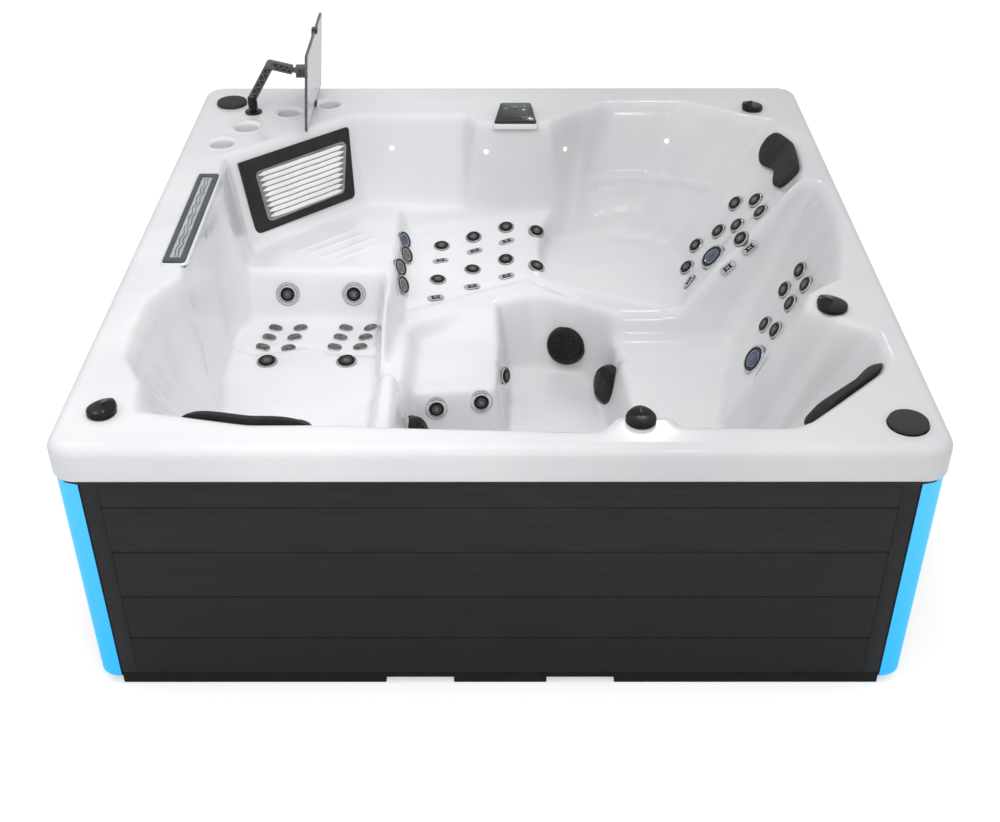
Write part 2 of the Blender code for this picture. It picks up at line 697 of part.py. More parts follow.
def hollow_loops():
    """The loops of each hollow of the shell, from its floor to its highest outline."""
    rim = RIM_HEIGHT
    legs_floor = (
        LEG_FRONT_LEVEL,
        LEG_FRONT_LEVEL,
        LEG_MIDDLE_LEVEL,
        LEG_BACK_RIGHT_LEVEL,
        LEG_BACK_LEFT_LEVEL,
    )
    return {
        "ledge": [plan(LEDGE_FLOOR_SHARES, LEDGE_LEVEL), plan(LEDGE_TOP_SHARES, rim)],
        "left_seat": [
            plan(LEFT_FLOOR_SHARES, LEFT_SEAT_LEVEL),
            plan(LEFT_MIDDLE_SHARES, LEDGE_LEVEL),
            plan(LEFT_TOP_SHARES, rim),
        ],
        "legs": [plan(LEGS_FLOOR_SHARES, legs_floor), plan(LEGS_TOP_SHARES, LEG_TOP_LEVEL)],
        "lounger_seat": [
            plan(LOUNGER_FLOOR_SHARES, LOUNGER_SEAT_LEVEL),
            plan(LOUNGER_TOP_SHARES, rim),
        ],
        "right_seat": [
            plan(RIGHT_FLOOR_SHARES, RIGHT_SEAT_LEVEL),
            plan(RIGHT_MIDDLE_SHARES, RIGHT_BACK_LEVEL),
            plan(RIGHT_TOP_SHARES, rim),
        ],
        "corner_seat": [
            plan(CORNER_FLOOR_SHARES, RIGHT_SEAT_LEVEL),
            plan(CORNER_TOP_SHARES, rim),
        ],
        "middle": [plan(MIDDLE_SHARES, SHOULDER_LEVEL), plan(MIDDLE_SHARES, rim)],
        "front": [plan(FRONT_FLOOR_SHARES, ARMREST_LEVEL), plan(FRONT_TOP_SHARES, rim)],
        "footwell": [
            plan(FOOTWELL_FLOOR_SHARES, FOOTWELL_LEVEL),
            plan(FOOTWELL_TOP_SHARES, FOOTWELL_TOP_LEVEL),
        ],
        "step": [
            plan(STEP_FLOOR_SHARES, STEP_LEVEL),
            plan(STEP_TOP_SHARES, FOOTWELL_TOP_LEVEL),
        ],
    }


def rim_block():
    """The rim and its turned-down lip, rounded along the top edge and open below."""
    lip_foot = RIM_HEIGHT - LIP_HEIGHT
    loops = [rounded_rectangle(HALF_WIDTH, HALF_DEPTH, CORNER_RADIUS, lip_foot)]
    for angle in (0, 30, 60, 90):
        inset = EDGE_RADIUS * (1 - math.cos(math.radians(angle)))
        level = RIM_HEIGHT - EDGE_RADIUS * (1 - math.sin(math.radians(angle)))
        radius = CORNER_RADIUS - inset
        loops.append(rounded_rectangle(HALF_WIDTH - inset, HALF_DEPTH - inset, radius, level))
    body = loft("tub_shell", loops)
    under = RIM_HEIGHT - WALL
    steps = (
        (WALL, lip_foot - OVERRUN),
        (WALL, under - EDGE_RADIUS),
        (WALL + EDGE_RADIUS, under),
    )
    radius = CORNER_RADIUS - WALL
    inside = [
        rounded_rectangle(HALF_WIDTH - inset, HALF_DEPTH - inset, radius, level)
        for inset, level in steps
    ]
    return cut(body, loft("under_rim", inside))


def outer_pit(name, loops, margin):
    """The space that a hollow takes with its wall, up into the rim."""
    outer = [widened(loop, margin) for loop in loops]
    outer[0] = [p - Vector((0, 0, margin)) for p in outer[0]]
    top = [Vector((p.x, p.y, RIM_HEIGHT - WALL / 2)) for p in outer[-1]]
    if abs(loops[-1][0].z - RIM_HEIGHT) < GAP:
        outer.pop()
    return loft(name, outer + [top])


def shell():
    body = rim_block()
    hollows = hollow_loops()
    for name, loops in hollows.items():
        fuse(body, outer_pit(name, loops, WALL))
    for name, loops in hollows.items():
        top = [Vector((p.x, p.y, RIM_HEIGHT + OVERRUN)) for p in loops[-1]]
        cut(body, loft(name, loops + [top]))
    for spot in CUP_SHARES:
        centre = at_shares(spot, RIM_HEIGHT)
        add_well(body, centre, CUP_RADIUS, RIM_HEIGHT - CUP_DEPTH)
        rings = [(CUP_RING, -CUP_RING_DEPTH), (CUP_RING, OVERRUN)]
        cut(body, turned("ring", rings, ROUND_SIDES, Matrix.Translation(centre)))
    for spot in SPEAKER_SHARES:
        centre = at_shares(spot, RIM_HEIGHT)
        add_well(body, centre, SPEAKER_CAN_RADIUS + SLIDE_GAP, WELL_FLOOR)
    return body


def add_well(body, centre, radius, floor):
    """A round well below the rim, with its own thin wall."""
    place = Matrix.Translation(Vector((centre.x, centre.y, 0)))
    top = RIM_HEIGHT - WALL / 2
    outer = [(radius + CUP_WALL, floor - CUP_WALL), (radius + CUP_WALL, top)]
    fuse(body, turned("well", outer, ROUND_SIDES, place))
    inner = [(radius, floor), (radius, RIM_HEIGHT + OVERRUN)]
    cut(body, turned("well", inner, ROUND_SIDES, place))


def surface_of(body):
    return BVHTree.FromObject(body, bpy.context.evaluated_depsgraph_get())


def seat_on(surface, spot, reach):
    """The nearest point of the shell to a spot, and the mean normal round it."""
    point, normal, _, _ = surface.find_nearest(spot)
    mean = Vector(normal)
    for _, near, _, _ in surface.find_nearest_range(point, reach):
        if near.dot(normal) > math.cos(math.radians(SHARP_ANGLE)):
            mean += near
    return point, mean.normalized()


def base_pan():
    low = (-BASE_WIDTH / 2, -BASE_DEPTH / 2, 0)
    pan = block("base_pan", low, (BASE_WIDTH / 2, BASE_DEPTH / 2, BASE_HEIGHT))
    inner = (BASE_WIDTH / 2 - BASE_EDGE, BASE_DEPTH / 2 - BASE_EDGE)
    pocket = block(
        "pocket", (-inner[0], -inner[1], BASE_FLOOR), (*inner, BASE_HEIGHT + OVERRUN)
    )
    cut(pan, pocket)
    reach = BASE_DEPTH / 2 + OVERRUN
    for side in (-1, 1):
        ends = sorted(
            side * share * HALF_WIDTH for share in (CHANNEL_INNER_SHARE, CHANNEL_OUTER_SHARE)
        )
        channel = block(
            "channel", (ends[0], -reach, -OVERRUN), (ends[1], reach, CHANNEL_HEIGHT)
        )
        cut(pan, channel)
    return finish(pan, "tray")


def ring_bar(name, half_x, half_y, width, foot, top):
    bar = block(name, (-half_x, -half_y, foot), (half_x, half_y, top))
    hole = block(
        "hole",
        (width - half_x, width - half_y, foot - OVERRUN),
        (half_x - width, half_y - width, top + OVERRUN),
    )
    return cut(bar, hole)


def post_outline(side_x, side_y, level):
    """The L that wraps the back of a corner light, in plan."""
    post_y = CABINET_HALF_DEPTH - POST_SETBACK
    seam_x = POST_INNER + POST_WIDTH
    seam_y = post_y + POST_WIDTH
    corners = [
        (POST_INNER, CABINET_HALF_DEPTH),
        (seam_x, CABINET_HALF_DEPTH),
        (seam_x, seam_y),
        (CABINET_HALF_WIDTH, seam_y),
        (CABINET_HALF_WIDTH, post_y),
        (POST_INNER, post_y),
    ]
    if side_x * side_y > 0:
        corners.reverse()
    return [Vector((side_x * x, side_y * y, level)) for x, y in corners]


def cabinet_frame():
    foot = BASE_HEIGHT + GAP
    post_y = CABINET_HALF_DEPTH - POST_SETBACK
    flange_x = CABINET_HALF_WIDTH + FLANGE_OVERHANG
    flange_y = CABINET_HALF_DEPTH + FLANGE_OVERHANG
    flange_foot = FRAME_TOP - FLANGE_THICKNESS
    flange = rounded_rectangle(flange_x, flange_y, CORNER_RADIUS, flange_foot, LIGHT_STEPS // 2)
    frame = prism("cabinet_frame", flange, (0, 0, FLANGE_THICKNESS))
    inner = (flange_x - FLANGE_WIDTH, flange_y - FLANGE_WIDTH)
    hole = block("hole", (-inner[0], -inner[1], flange_foot - OVERRUN), (*inner, FRAME_TOP + OVERRUN))
    cut(frame, hole)
    half_x = POST_INNER + POST_WIDTH - GAP
    half_y = post_y + POST_WIDTH - GAP
    for level in (foot, MIDDLE_RAIL_LEVEL):
        fuse(frame, ring_bar("rail", half_x, half_y, POST_WIDTH, level, level + RAIL_HEIGHT))
    for side_x in (-1, 1):
        for side_y in (-1, 1):
            rise = (0, 0, flange_foot + FLANGE_THICKNESS / 2 - foot)
            fuse(frame, prism("post", post_outline(side_x, side_y, foot), rise))
    beam_top = FOOTWELL_LEVEL - WALL - GAP
    for share in BEAM_SHARES:
        middle = share * HALF_DEPTH
        beam = block(
            "beam",
            (-POST_INNER - POST_WIDTH / 2, middle - BEAM_WIDTH / 2, foot),
            (POST_INNER + POST_WIDTH / 2, middle + BEAM_WIDTH / 2, beam_top),
        )
        fuse(frame, beam)
    return finish(frame, "frame")


def panel(name, length, face, turn):
    """A boarded panel: its grooved profile is drawn in the panel's own Y and Z."""
    foot = BASE_HEIGHT + GAP
    top = FRAME_TOP - FLANGE_THICKNESS - GAP
    edge = [(-face, foot)]
    for share in GROOVE_SHARES:
        level = RIM_HEIGHT * share
        edge.append((-face, level - GROOVE_WIDTH / 2))
        edge.append((GROOVE_DEPTH - face, level))
        edge.append((-face, level + GROOVE_WIDTH / 2))
    edge.append((-face, top))
    edge.append((PANEL_THICKNESS - face, top))
    edge.append((PANEL_THICKNESS - face, foot))
    outline = [Vector((-length / 2, y, z)) for y, z in edge]
    made = prism(name, outline, (length, 0, 0))
    made.matrix_world = Matrix.Rotation(math.radians(turn), 4, "Z")
    return finish(made, "board")


def panels():
    post_y = CABINET_HALF_DEPTH - POST_SETBACK
    wide = (POST_INNER - GAP) * 2
    deep = (post_y - GAP) * 2
    panel("panel_front", wide, CABINET_HALF_DEPTH, 0)
    panel("panel_right", deep, CABINET_HALF_WIDTH, 90)
    panel("panel_back", wide, CABINET_HALF_DEPTH, 180)
    panel("panel_left", deep, CABINET_HALF_WIDTH, 270)


def corner_light(name, side_x, side_y):
    """A hollow quarter column, open at its foot, whose curved face looks out of the corner."""
    centre_x = CABINET_HALF_WIDTH - LIGHT_RADIUS - LIGHT_SEAM
    centre_y = CABINET_HALF_DEPTH - LIGHT_RADIUS - LIGHT_SEAM
    angles = [math.radians(90) * i / LIGHT_STEPS for i in range(LIGHT_STEPS + 1)]
    inner = LIGHT_RADIUS - LIGHT_WALL
    arcs = [(LIGHT_RADIUS, a) for a in angles] + [(inner, a) for a in reversed(angles)]
    outline = [
        Vector(
            (
                side_x * (centre_x + radius * math.cos(a)),
                side_y * (centre_y + radius * math.sin(a)),
                LIGHT_FOOT,
            )
        )
        for radius, a in arcs
    ]
    if side_x * side_y < 0:
        outline.reverse()
    rise = (0, 0, FRAME_TOP - FLANGE_THICKNESS - GAP - LIGHT_FOOT)
    return finish(prism(name, outline, rise), "diffuser")


def corner_lights():
    corner_light("light_front_left", -1, -1)
    corner_light("light_front_right", 1, -1)
    corner_light("light_back_left", -1, 1)
    corner_light("light_back_right", 1, 1)


def filter_wall():
    """The slanted wall behind the ledge: X along the wall, Y down its slope, Z out of it."""
    top_left = at_shares(LEDGE_TOP_SHARES[8], RIM_HEIGHT)
    top_right = at_shares(LEDGE_TOP_SHARES[7], RIM_HEIGHT)
    foot_left = at_shares(LEDGE_FLOOR_SHARES[8], LEDGE_LEVEL)
    foot_right = at_shares(LEDGE_FLOOR_SHARES[7], LEDGE_LEVEL)
    along = (top_right - top_left).normalized()
    down = (foot_left + foot_right - top_left - top_right).normalized()
    down = (down - along * down.dot(along)).normalized()
    out = -along.cross(down)
    place = Matrix((along, down, out)).transposed().to_4x4()
    place.translation = top_left
    return place


def trapezoid(left, top, top_width, foot_width, height, level, margin=0.0):
    """An upright trapezoid in the plane of the filter wall. Its left sides stay upright."""
    low = top + height
    return [
        Vector((left - margin, low + margin, level)),
        Vector((left - margin, top - margin, level)),
        Vector((left + top_width + margin, top - margin, level)),
        Vector((left + foot_width + margin, low + margin, level)),
    ]


def filter_frame(body):
    place = filter_wall()
    lift = FILTER_THICKNESS - FILTER_SUNK

    def plate(name, margin, foot, top):
        outline = trapezoid(
            FILTER_LEFT, FILTER_TOP, FILTER_TOP_WIDTH, FILTER_FOOT_WIDTH, FILTER_HEIGHT, foot, margin
        )
        made = prism(name, outline, (0, 0, top - foot))
        made.matrix_world = place
        return made

    def opening(name, margin, foot, top):
        outline = trapezoid(
            GRILLE_LEFT, GRILLE_TOP, GRILLE_TOP_WIDTH, GRILLE_FOOT_WIDTH, GRILLE_HEIGHT, foot, margin
        )
        made = prism(name, outline, (0, 0, top - foot))
        made.matrix_world = place
        return made

    cut(body, plate("seat", GAP, -FILTER_SUNK - GAP, OVERRUN))
    cut(body, duct("throat", 0, -OVERRUN))
    made = plate("filter_frame", 0, -FILTER_SUNK, lift)
    cut(made, opening("window", GAP, -OVERRUN, OVERRUN))
    finish(made, "faceplate")
    return opening


def filter_grille(opening):
    place = filter_wall()
    lift = FILTER_THICKNESS - FILTER_SUNK - GRILLE_EDGE / 2
    grille = opening("filter_grille", 0, lift - GRILLE_THICKNESS, lift)
    cut(grille, opening("inner", -GRILLE_EDGE, -OVERRUN, OVERRUN))
    pitch = (GRILLE_HEIGHT - GRILLE_EDGE) / (LOUVRES + 1)
    for i in range(LOUVRES):
        middle = GRILLE_TOP + GRILLE_EDGE / 2 + pitch * (i + 1)
        share = (middle - GRILLE_TOP) / GRILLE_HEIGHT
        width = GRILLE_TOP_WIDTH + (GRILLE_FOOT_WIDTH - GRILLE_TOP_WIDTH) * share
        slat = block(
            "slat",
            (GRILLE_LEFT + GRILLE_EDGE / 2, middle, lift - GRILLE_THICKNESS),
            (GRILLE_LEFT + width - GRILLE_EDGE / 2, middle + LOUVRE_THICKNESS, lift),
        )
        slat.matrix_world = place
        fuse(grille, slat)
    return finish(grille, "grille")


def canister(name, shrink):
    rings = [
        (CANISTER_RADIUS - shrink, CANISTER_FOOT + shrink),
        (CANISTER_RADIUS - shrink, CANISTER_TOP - shrink),
    ]
    return turned(name, rings, ROUND_SIDES, Matrix.Translation(at_shares(CANISTER_SHARES, 0)))


def duct_place():
    """The placement of the level duct, Y up and Z inwards, and its length to the canister."""
    middle = GRILLE_LEFT + (GRILLE_TOP_WIDTH + GRILLE_FOOT_WIDTH) / 4
    throat = filter_wall() @ Vector((middle, GRILLE_TOP + GRILLE_HEIGHT / 2, 0))
    run = at_shares(CANISTER_SHARES, throat.z) - throat
    up = Vector((0, 0, 1))
    inwards = run.normalized()
    place = Matrix((up.cross(inwards), up, inwards)).transposed().to_4x4()
    place.translation = throat
    return place, run.length


def duct(name, margin, start):
    place, length = duct_place()
    half_width = DUCT_WIDTH / 2 + margin
    half_height = DUCT_HEIGHT / 2 + margin
    made = block(
        name, (-half_width, -half_height, start), (half_width, half_height, length)
    )
    made.matrix_world = place
    return made


def filter_housing():
    """The duct behind the wall and the upright canister that it leads to."""
    centre = at_shares(CANISTER_SHARES, 0)
    made = canister("filter_housing", 0)
    stub = duct("duct", DUCT_WALL, 0)
    cut(stub, outer_pit("ledge", hollow_loops()["ledge"], WALL + GAP))
    fuse(made, stub)
    foot = centre + Vector((0, 0, OUTLET_FOOT))
    top = centre + Vector((0, 0, CANISTER_FOOT + DUCT_WALL * 2))
    fuse(made, rod("outlet", foot, top, OUTLET_RADIUS, PLAIN_SIDES))
    cut(made, canister("bore", DUCT_WALL))
    cut(made, duct("passage", 0, -OVERRUN))
    reach = DUCT_WIDTH / 2 + DUCT_WALL + OVERRUN
    cut(made, flap_pin("pin_hole", FLAP_PIN_RADIUS + SLIDE_GAP, reach))
    low = foot - Vector((0, 0, OVERRUN))
    high = top + Vector((0, 0, OVERRUN))
    cut(made, rod("outlet_bore", low, high, OUTLET_RADIUS - DUCT_WALL, PLAIN_SIDES))
    return finish(made, "housing")


def filter_cartridge():
    """Two end caps and a pleated sleeve round a hollow core."""
    centre = at_shares(CANISTER_SHARES, 0)
    count = PLEATS * 2
    outline = []
    for i in range(count):
        radius = CARTRIDGE_RADIUS - (PLEAT_DEPTH if i % 2 else 0)
        angle = math.tau * i / count
        outline.append(
            centre + Vector((radius * math.cos(angle), radius * math.sin(angle), CARTRIDGE_FOOT))
        )
    made = prism("filter_cartridge", outline, (0, 0, CARTRIDGE_TOP - CARTRIDGE_FOOT))
    for foot in (CARTRIDGE_FOOT - GAP, CARTRIDGE_TOP - CARTRIDGE_CAP):
        rings = [(CARTRIDGE_RADIUS, foot), (CARTRIDGE_RADIUS, foot + CARTRIDGE_CAP)]
        fuse(made, turned("cap", rings, ROUND_SIDES, Matrix.Translation(centre)))
    foot = centre + Vector((0, 0, CARTRIDGE_FOOT - OVERRUN))
    top = centre + Vector((0, 0, CARTRIDGE_TOP + OVERRUN))
    cut(made, rod("core", foot, top, CARTRIDGE_CORE, PLAIN_SIDES))
    return finish(made, "filter")


def flap_pin(name, radius, half):
    """A rod across the duct along the hinge of the flap."""
    place, _ = duct_place()
    hinge = Vector((0, DUCT_HEIGHT / 2 - FLAP_DOWN, FLAP_BEHIND))
    made = rod(name, (-half, 0, 0), (half, 0, 0), radius, BARREL_SIDES)
    made.matrix_world = place @ Matrix.Translation(hinge) @ made.matrix_world
    return made


def weir_flap():
    """A flap that hangs in the duct from two stub pins along its upper edge."""
    place, _ = duct_place()
    low = (-FLAP_WIDTH / 2, -FLAP_HEIGHT, -FLAP_THICKNESS / 2)
    flap = block("weir_flap", low, (FLAP_WIDTH / 2, 0, FLAP_THICKNESS / 2))
    hinge = Vector((0, DUCT_HEIGHT / 2 - FLAP_DOWN, FLAP_BEHIND))
    flap.matrix_world = place @ Matrix.Translation(hinge)
    fuse(flap, flap_pin("pin", FLAP_PIN_RADIUS, DUCT_WIDTH / 2 + DUCT_WALL / 2))
    return finish(flap, "flap")


def speaker(name, spot):
    """A flat cap on a can. Its origin lies on the line that it rises along."""
    centre = at_shares(spot, RIM_HEIGHT)
    edge = SPEAKER_CAP_THICKNESS / 4
    rings = [
        (SPEAKER_CAN_RADIUS, -SPEAKER_CAN_DEPTH),
        (SPEAKER_CAN_RADIUS, GAP),
        (SPEAKER_CAP_RADIUS, GAP),
        (SPEAKER_CAP_RADIUS, SPEAKER_CAP_THICKNESS - edge),
        (SPEAKER_CAP_RADIUS - edge, SPEAKER_CAP_THICKNESS),
    ]
    return finish(turned(name, rings, ROUND_SIDES, Matrix.Translation(centre)), "fitting")


def knob(name, spot, radius, turn):
    centre = at_shares(spot, RIM_HEIGHT + GAP)
    waist = radius * KNOB_TOP_SHARE
    rings = [
        (radius, 0),
        (radius, KNOB_HEIGHT / 4),
        (radius - KNOB_HEIGHT / 12, KNOB_HEIGHT / 3),
        (waist, KNOB_HEIGHT * KNOB_SHOULDER_SHARE),
        (waist / 2, KNOB_HEIGHT),
    ]
    made = turned(name, rings, ROUND_SIDES, Matrix.Translation(centre))
    grip = block(
        "grip",
        (-radius / 3, -KNOB_GRIP_WIDTH / 2, KNOB_HEIGHT / 4),
        (radius * KNOB_GRIP_SHARE, KNOB_GRIP_WIDTH / 2, KNOB_HEIGHT + KNOB_GRIP_HEIGHT),
    )
    grip.matrix_world = made.matrix_world @ Matrix.Rotation(math.radians(turn), 4, "Z")
    fuse(made, grip)
    bore = turned(
        "bore", [(KNOB_BORE, -OVERRUN), (KNOB_BORE, KNOB_BORE_DEPTH)], PLAIN_SIDES, made.matrix_world
    )
    return finish(cut(made, bore), "fitting")


def valve(name, spot, body):
    """The body that hangs through the rim below a knob, with a port on each side."""
    centre = at_shares(spot, 0)
    place = Matrix.Translation(centre)
    plate_foot = RIM_HEIGHT - WALL - GAP
    stem_top = RIM_HEIGHT + GAP + KNOB_BORE_DEPTH - GAP
    rings = [
        (VALVE_RADIUS, VALVE_FOOT),
        (VALVE_RADIUS, plate_foot - VALVE_FLANGE_THICKNESS),
        (VALVE_FLANGE_RADIUS, plate_foot - VALVE_FLANGE_THICKNESS),
        (VALVE_FLANGE_RADIUS, plate_foot),
        (VALVE_STEM_RADIUS, plate_foot),
        (VALVE_STEM_RADIUS, stem_top),
    ]
    made = turned(name, rings, PLAIN_SIDES, place)
    middle = (VALVE_FOOT + plate_foot - VALVE_FLANGE_THICKNESS) / 2
    start = centre + Vector((0, 0, middle))
    if abs(spot[0]) > abs(spot[1]):
        end = start + Vector((0, math.copysign(PORT_REACH, spot[1]), 0))
    else:
        end = start + Vector((math.copysign(PORT_REACH, -spot[0]), 0, 0))
    fuse(made, rod("port", start, end, PORT_RADIUS, BARREL_SIDES))
    finish(made, "valve")
    hole = [
        (VALVE_STEM_RADIUS + GAP, RIM_HEIGHT - WALL - OVERRUN),
        (VALVE_STEM_RADIUS + GAP, RIM_HEIGHT + OVERRUN),
    ]
    cut(body, turned("hole", hole, PLAIN_SIDES, place))
    return made


def knobs_and_valves(body):
    for i, (spot, radius, turn) in enumerate(zip(KNOB_SHARES, KNOB_SIZES, KNOB_TURNS), 1):
        knob(f"knob_{i}", spot, radius, turn)
        valve(f"valve_{i}", spot, body)


def waterfall(body):
    """A long spout plate on the left rim, with its body through a slot."""
    middle = Vector(
        (
            (WATERFALL_LEFT + WATERFALL_RIGHT) / 2,
            (WATERFALL_FRONT + WATERFALL_BACK) / 2,
            0,
        )
    )
    half_x = (WATERFALL_RIGHT - WATERFALL_LEFT) / 2
    half_y = (WATERFALL_BACK - WATERFALL_FRONT) / 2
    foot = RIM_HEIGHT + GAP
    top = RIM_HEIGHT + WATERFALL_HEIGHT

    def pill(name, inset, corner, low, high):
        loops = [
            rounded_rectangle(half_x - inset, half_y - inset, corner, level, 3)
            for level in (low, high)
        ]
        made = loft(name, loops)
        made.matrix_world = Matrix.Translation(middle)
        return made

    made = pill("waterfall", 0, WATERFALL_CORNER, foot, top)
    inner_corner = WATERFALL_CORNER / 2
    floor = top - WATERFALL_RECESS_DEPTH
    cut(made, pill("recess", WATERFALL_RECESS_INSET, inner_corner, floor, top + OVERRUN))
    inset = WATERFALL_BODY_INSET
    fuse(made, pill("spout", inset, inner_corner, WATERFALL_BODY_FOOT, foot + GAP))
    finish(made, "spout")
    low = RIM_HEIGHT - WALL - OVERRUN
    cut(body, pill("slot", inset - GAP, inner_corner, low, RIM_HEIGHT + OVERRUN))
    return made


def control_place():
    """The top face of the control panel: X along its front edge, Z out of its face."""
    run = CONTROL_BACK - CONTROL_FRONT
    slope = math.atan2(CONTROL_BACK_TOP - CONTROL_FRONT_TOP, run)
    return Matrix.Translation((0, CONTROL_FRONT, CONTROL_FRONT_TOP)) @ Matrix.Rotation(slope, 4, "X")


def control_panel(body):
    foot = RIM_HEIGHT + GAP
    bottom = [
        Vector((CONTROL_FRONT_LEFT, CONTROL_FRONT, foot)),
        Vector((CONTROL_FRONT_RIGHT, CONTROL_FRONT, foot)),
        Vector((CONTROL_BACK_RIGHT, CONTROL_BACK, foot)),
        Vector((CONTROL_BACK_LEFT, CONTROL_BACK, foot)),
    ]
    heights = (CONTROL_FRONT_TOP, CONTROL_FRONT_TOP, CONTROL_BACK_TOP, CONTROL_BACK_TOP)
    top = [Vector((p.x, p.y, z)) for p, z in zip(bottom, heights)]
    made = loft("control_panel", [bottom, top])
    inset = CONTROL_BODY_INSET
    low = (CONTROL_BACK_LEFT + inset, CONTROL_FRONT + inset, CONTROL_BODY_FOOT)
    high = (CONTROL_BACK_RIGHT - inset, CONTROL_BACK - inset, foot + GAP)
    fuse(made, block("body", low, high))
    place = control_place()
    for spot in BUTTON_SHARES:
        centre = place @ Vector(button_spot(spot))
        rings = [
            (BUTTON_RADIUS + GAP, -BUTTON_HEIGHT - BUTTON_ROOM),
            (BUTTON_RADIUS + GAP, OVERRUN),
        ]
        cut(made, turned("pocket", rings, PLAIN_SIDES, facing(centre, place.to_3x3().col[2])))
    finish(made, "control")
    opening_low = (low[0] - GAP, low[1] - GAP, RIM_HEIGHT - WALL - OVERRUN)
    opening_high = (high[0] + GAP, high[1] + GAP, RIM_HEIGHT + OVERRUN)
    cut(body, block("opening", opening_low, opening_high))
    return made


def button_spot(spot):
    """A place on the panel's top, from shares of its width and depth."""
    width = CONTROL_BACK_RIGHT - CONTROL_BACK_LEFT
    depth = CONTROL_BACK - CONTROL_FRONT
    return (CONTROL_BACK_LEFT + spot[0] * width, spot[1] * depth, 0)


def buttons():
    place = control_place()
    axis = place.to_3x3().col[2]
    for i, spot in enumerate(BUTTON_SHARES, 1):
        centre = place @ Vector(button_spot(spot))
        rings = [
            (BUTTON_RADIUS, BUTTON_PROUD - BUTTON_HEIGHT),
            (BUTTON_RADIUS, BUTTON_PROUD),
        ]
        finish(turned(f"button_{i}", rings, PLAIN_SIDES, facing(centre, axis)), "button")


def arm_points():
    base = at_shares(ARM_SHARES, RIM_HEIGHT)
    elbow = Vector((ELBOW_X, base.y, ELBOW_LEVEL))
    wrist = Vector((WRIST_X, base.y, WRIST_LEVEL))
    return base, elbow, wrist


def bar_between(name, start, end, width, depth):
    """A flat bar in the X and Z plane from one point to another."""
    line = (end - start).normalized()
    across = Vector((line.z, 0, -line.x)) * (width / 2)
    corners = [start + across, end + across, end - across, start - across]
    outline = [p - Vector((0, depth / 2, 0)) for p in corners]
    return prism(name, outline, (0, depth, 0))


def truss_cuts(made, start, end, width, depth, count):
    """Cuts a row of alternating triangles through a bar, so that it becomes a truss."""
    line = end - start
    step = line / count
    unit = line.normalized()
    across = Vector((unit.z, 0, -unit.x)) * (width / 2 - TRUSS_MARGIN)
    side = 1
    for i in range(count):
        low = start + step * i + unit * TRUSS_MARGIN
        high = start + step * (i + 1) - unit * TRUSS_MARGIN
        corners = [low + across * side, high + across * side, (low + high) / 2 - across * side]
        outline = [p - Vector((0, depth, 0)) for p in corners]
        cut(made, prism("gap", outline, (0, depth * 2, 0)))
        side = -side


def y_rod(name, centre, radius, half, sides):
    reach = Vector((0, half, 0))
    return rod(name, centre - reach, centre + reach, radius, sides)


def moved_origin(made, origin):
    """Puts the object's origin on its joint without moving its mesh."""
    made.data.transform(Matrix.Translation(-Vector(origin)) @ made.matrix_world)
    made.matrix_world = Matrix.Translation(origin)
    return made


def arm_base(body):
    base, _, _ = arm_points()
    foot = GAP
    rings = [
        (ARM_SCREW_RADIUS, ARM_SCREW_FOOT - RIM_HEIGHT),
        (ARM_SCREW_RADIUS, foot),
        (ARM_BASE_RADIUS, foot),
        (ARM_BASE_RADIUS, ARM_BASE_THICKNESS * 2 / 3),
        (ARM_BASE_RADIUS * 2 / 3, ARM_BASE_THICKNESS),
        (ARM_POST_RADIUS, ARM_BASE_THICKNESS),
        (ARM_POST_RADIUS, ARM_POST_TOP - RIM_HEIGHT),
    ]
    finish(turned("arm_base", rings, ROUND_SIDES, Matrix.Translation(base)), "fitting")
    radius = ARM_SCREW_RADIUS + GAP
    hole = [(radius, -WALL - OVERRUN), (radius, OVERRUN)]
    cut(body, turned("hole", hole, ROUND_SIDES, Matrix.Translation(base)))


def lower_arm():
    base, elbow, _ = arm_points()
    collar_foot = ARM_BASE_THICKNESS + GAP
    collar_top = ARM_POST_TOP - RIM_HEIGHT + LOWER_ARM_THICKNESS
    rings = [(ARM_COLLAR_RADIUS, collar_foot), (ARM_COLLAR_RADIUS, collar_top)]
    made = turned("lower_arm", rings, ROUND_SIDES, Matrix.Translation(base))
    start = base + Vector((0, 0, collar_top - LOWER_ARM_THICKNESS))
    bar = bar_between("bar", start, elbow, LOWER_ARM_WIDTH, LOWER_ARM_THICKNESS)
    unit = (elbow - start).normalized()
    truss_start = start + unit * ARM_COLLAR_RADIUS
    truss_end = elbow - unit * ELBOW_RADIUS
    truss_cuts(bar, truss_start, truss_end, LOWER_ARM_WIDTH, LOWER_ARM_THICKNESS, 3)
    fuse(made, bar)
    half = LOWER_ARM_THICKNESS / 2
    fuse(made, y_rod("eye", elbow, ELBOW_RADIUS, half, ROUND_SIDES))
    bore = [
        (ARM_POST_RADIUS + GAP, -OVERRUN),
        (ARM_POST_RADIUS + GAP, ARM_POST_TOP - RIM_HEIGHT + GAP),
    ]
    cut(made, turned("bore", bore, ROUND_SIDES, Matrix.Translation(base)))
    cut(made, y_rod("pin_hole", elbow, ELBOW_PIN_RADIUS + SLIDE_GAP, OVERRUN, PLAIN_SIDES))
    return finish(moved_origin(made, base), "arm")


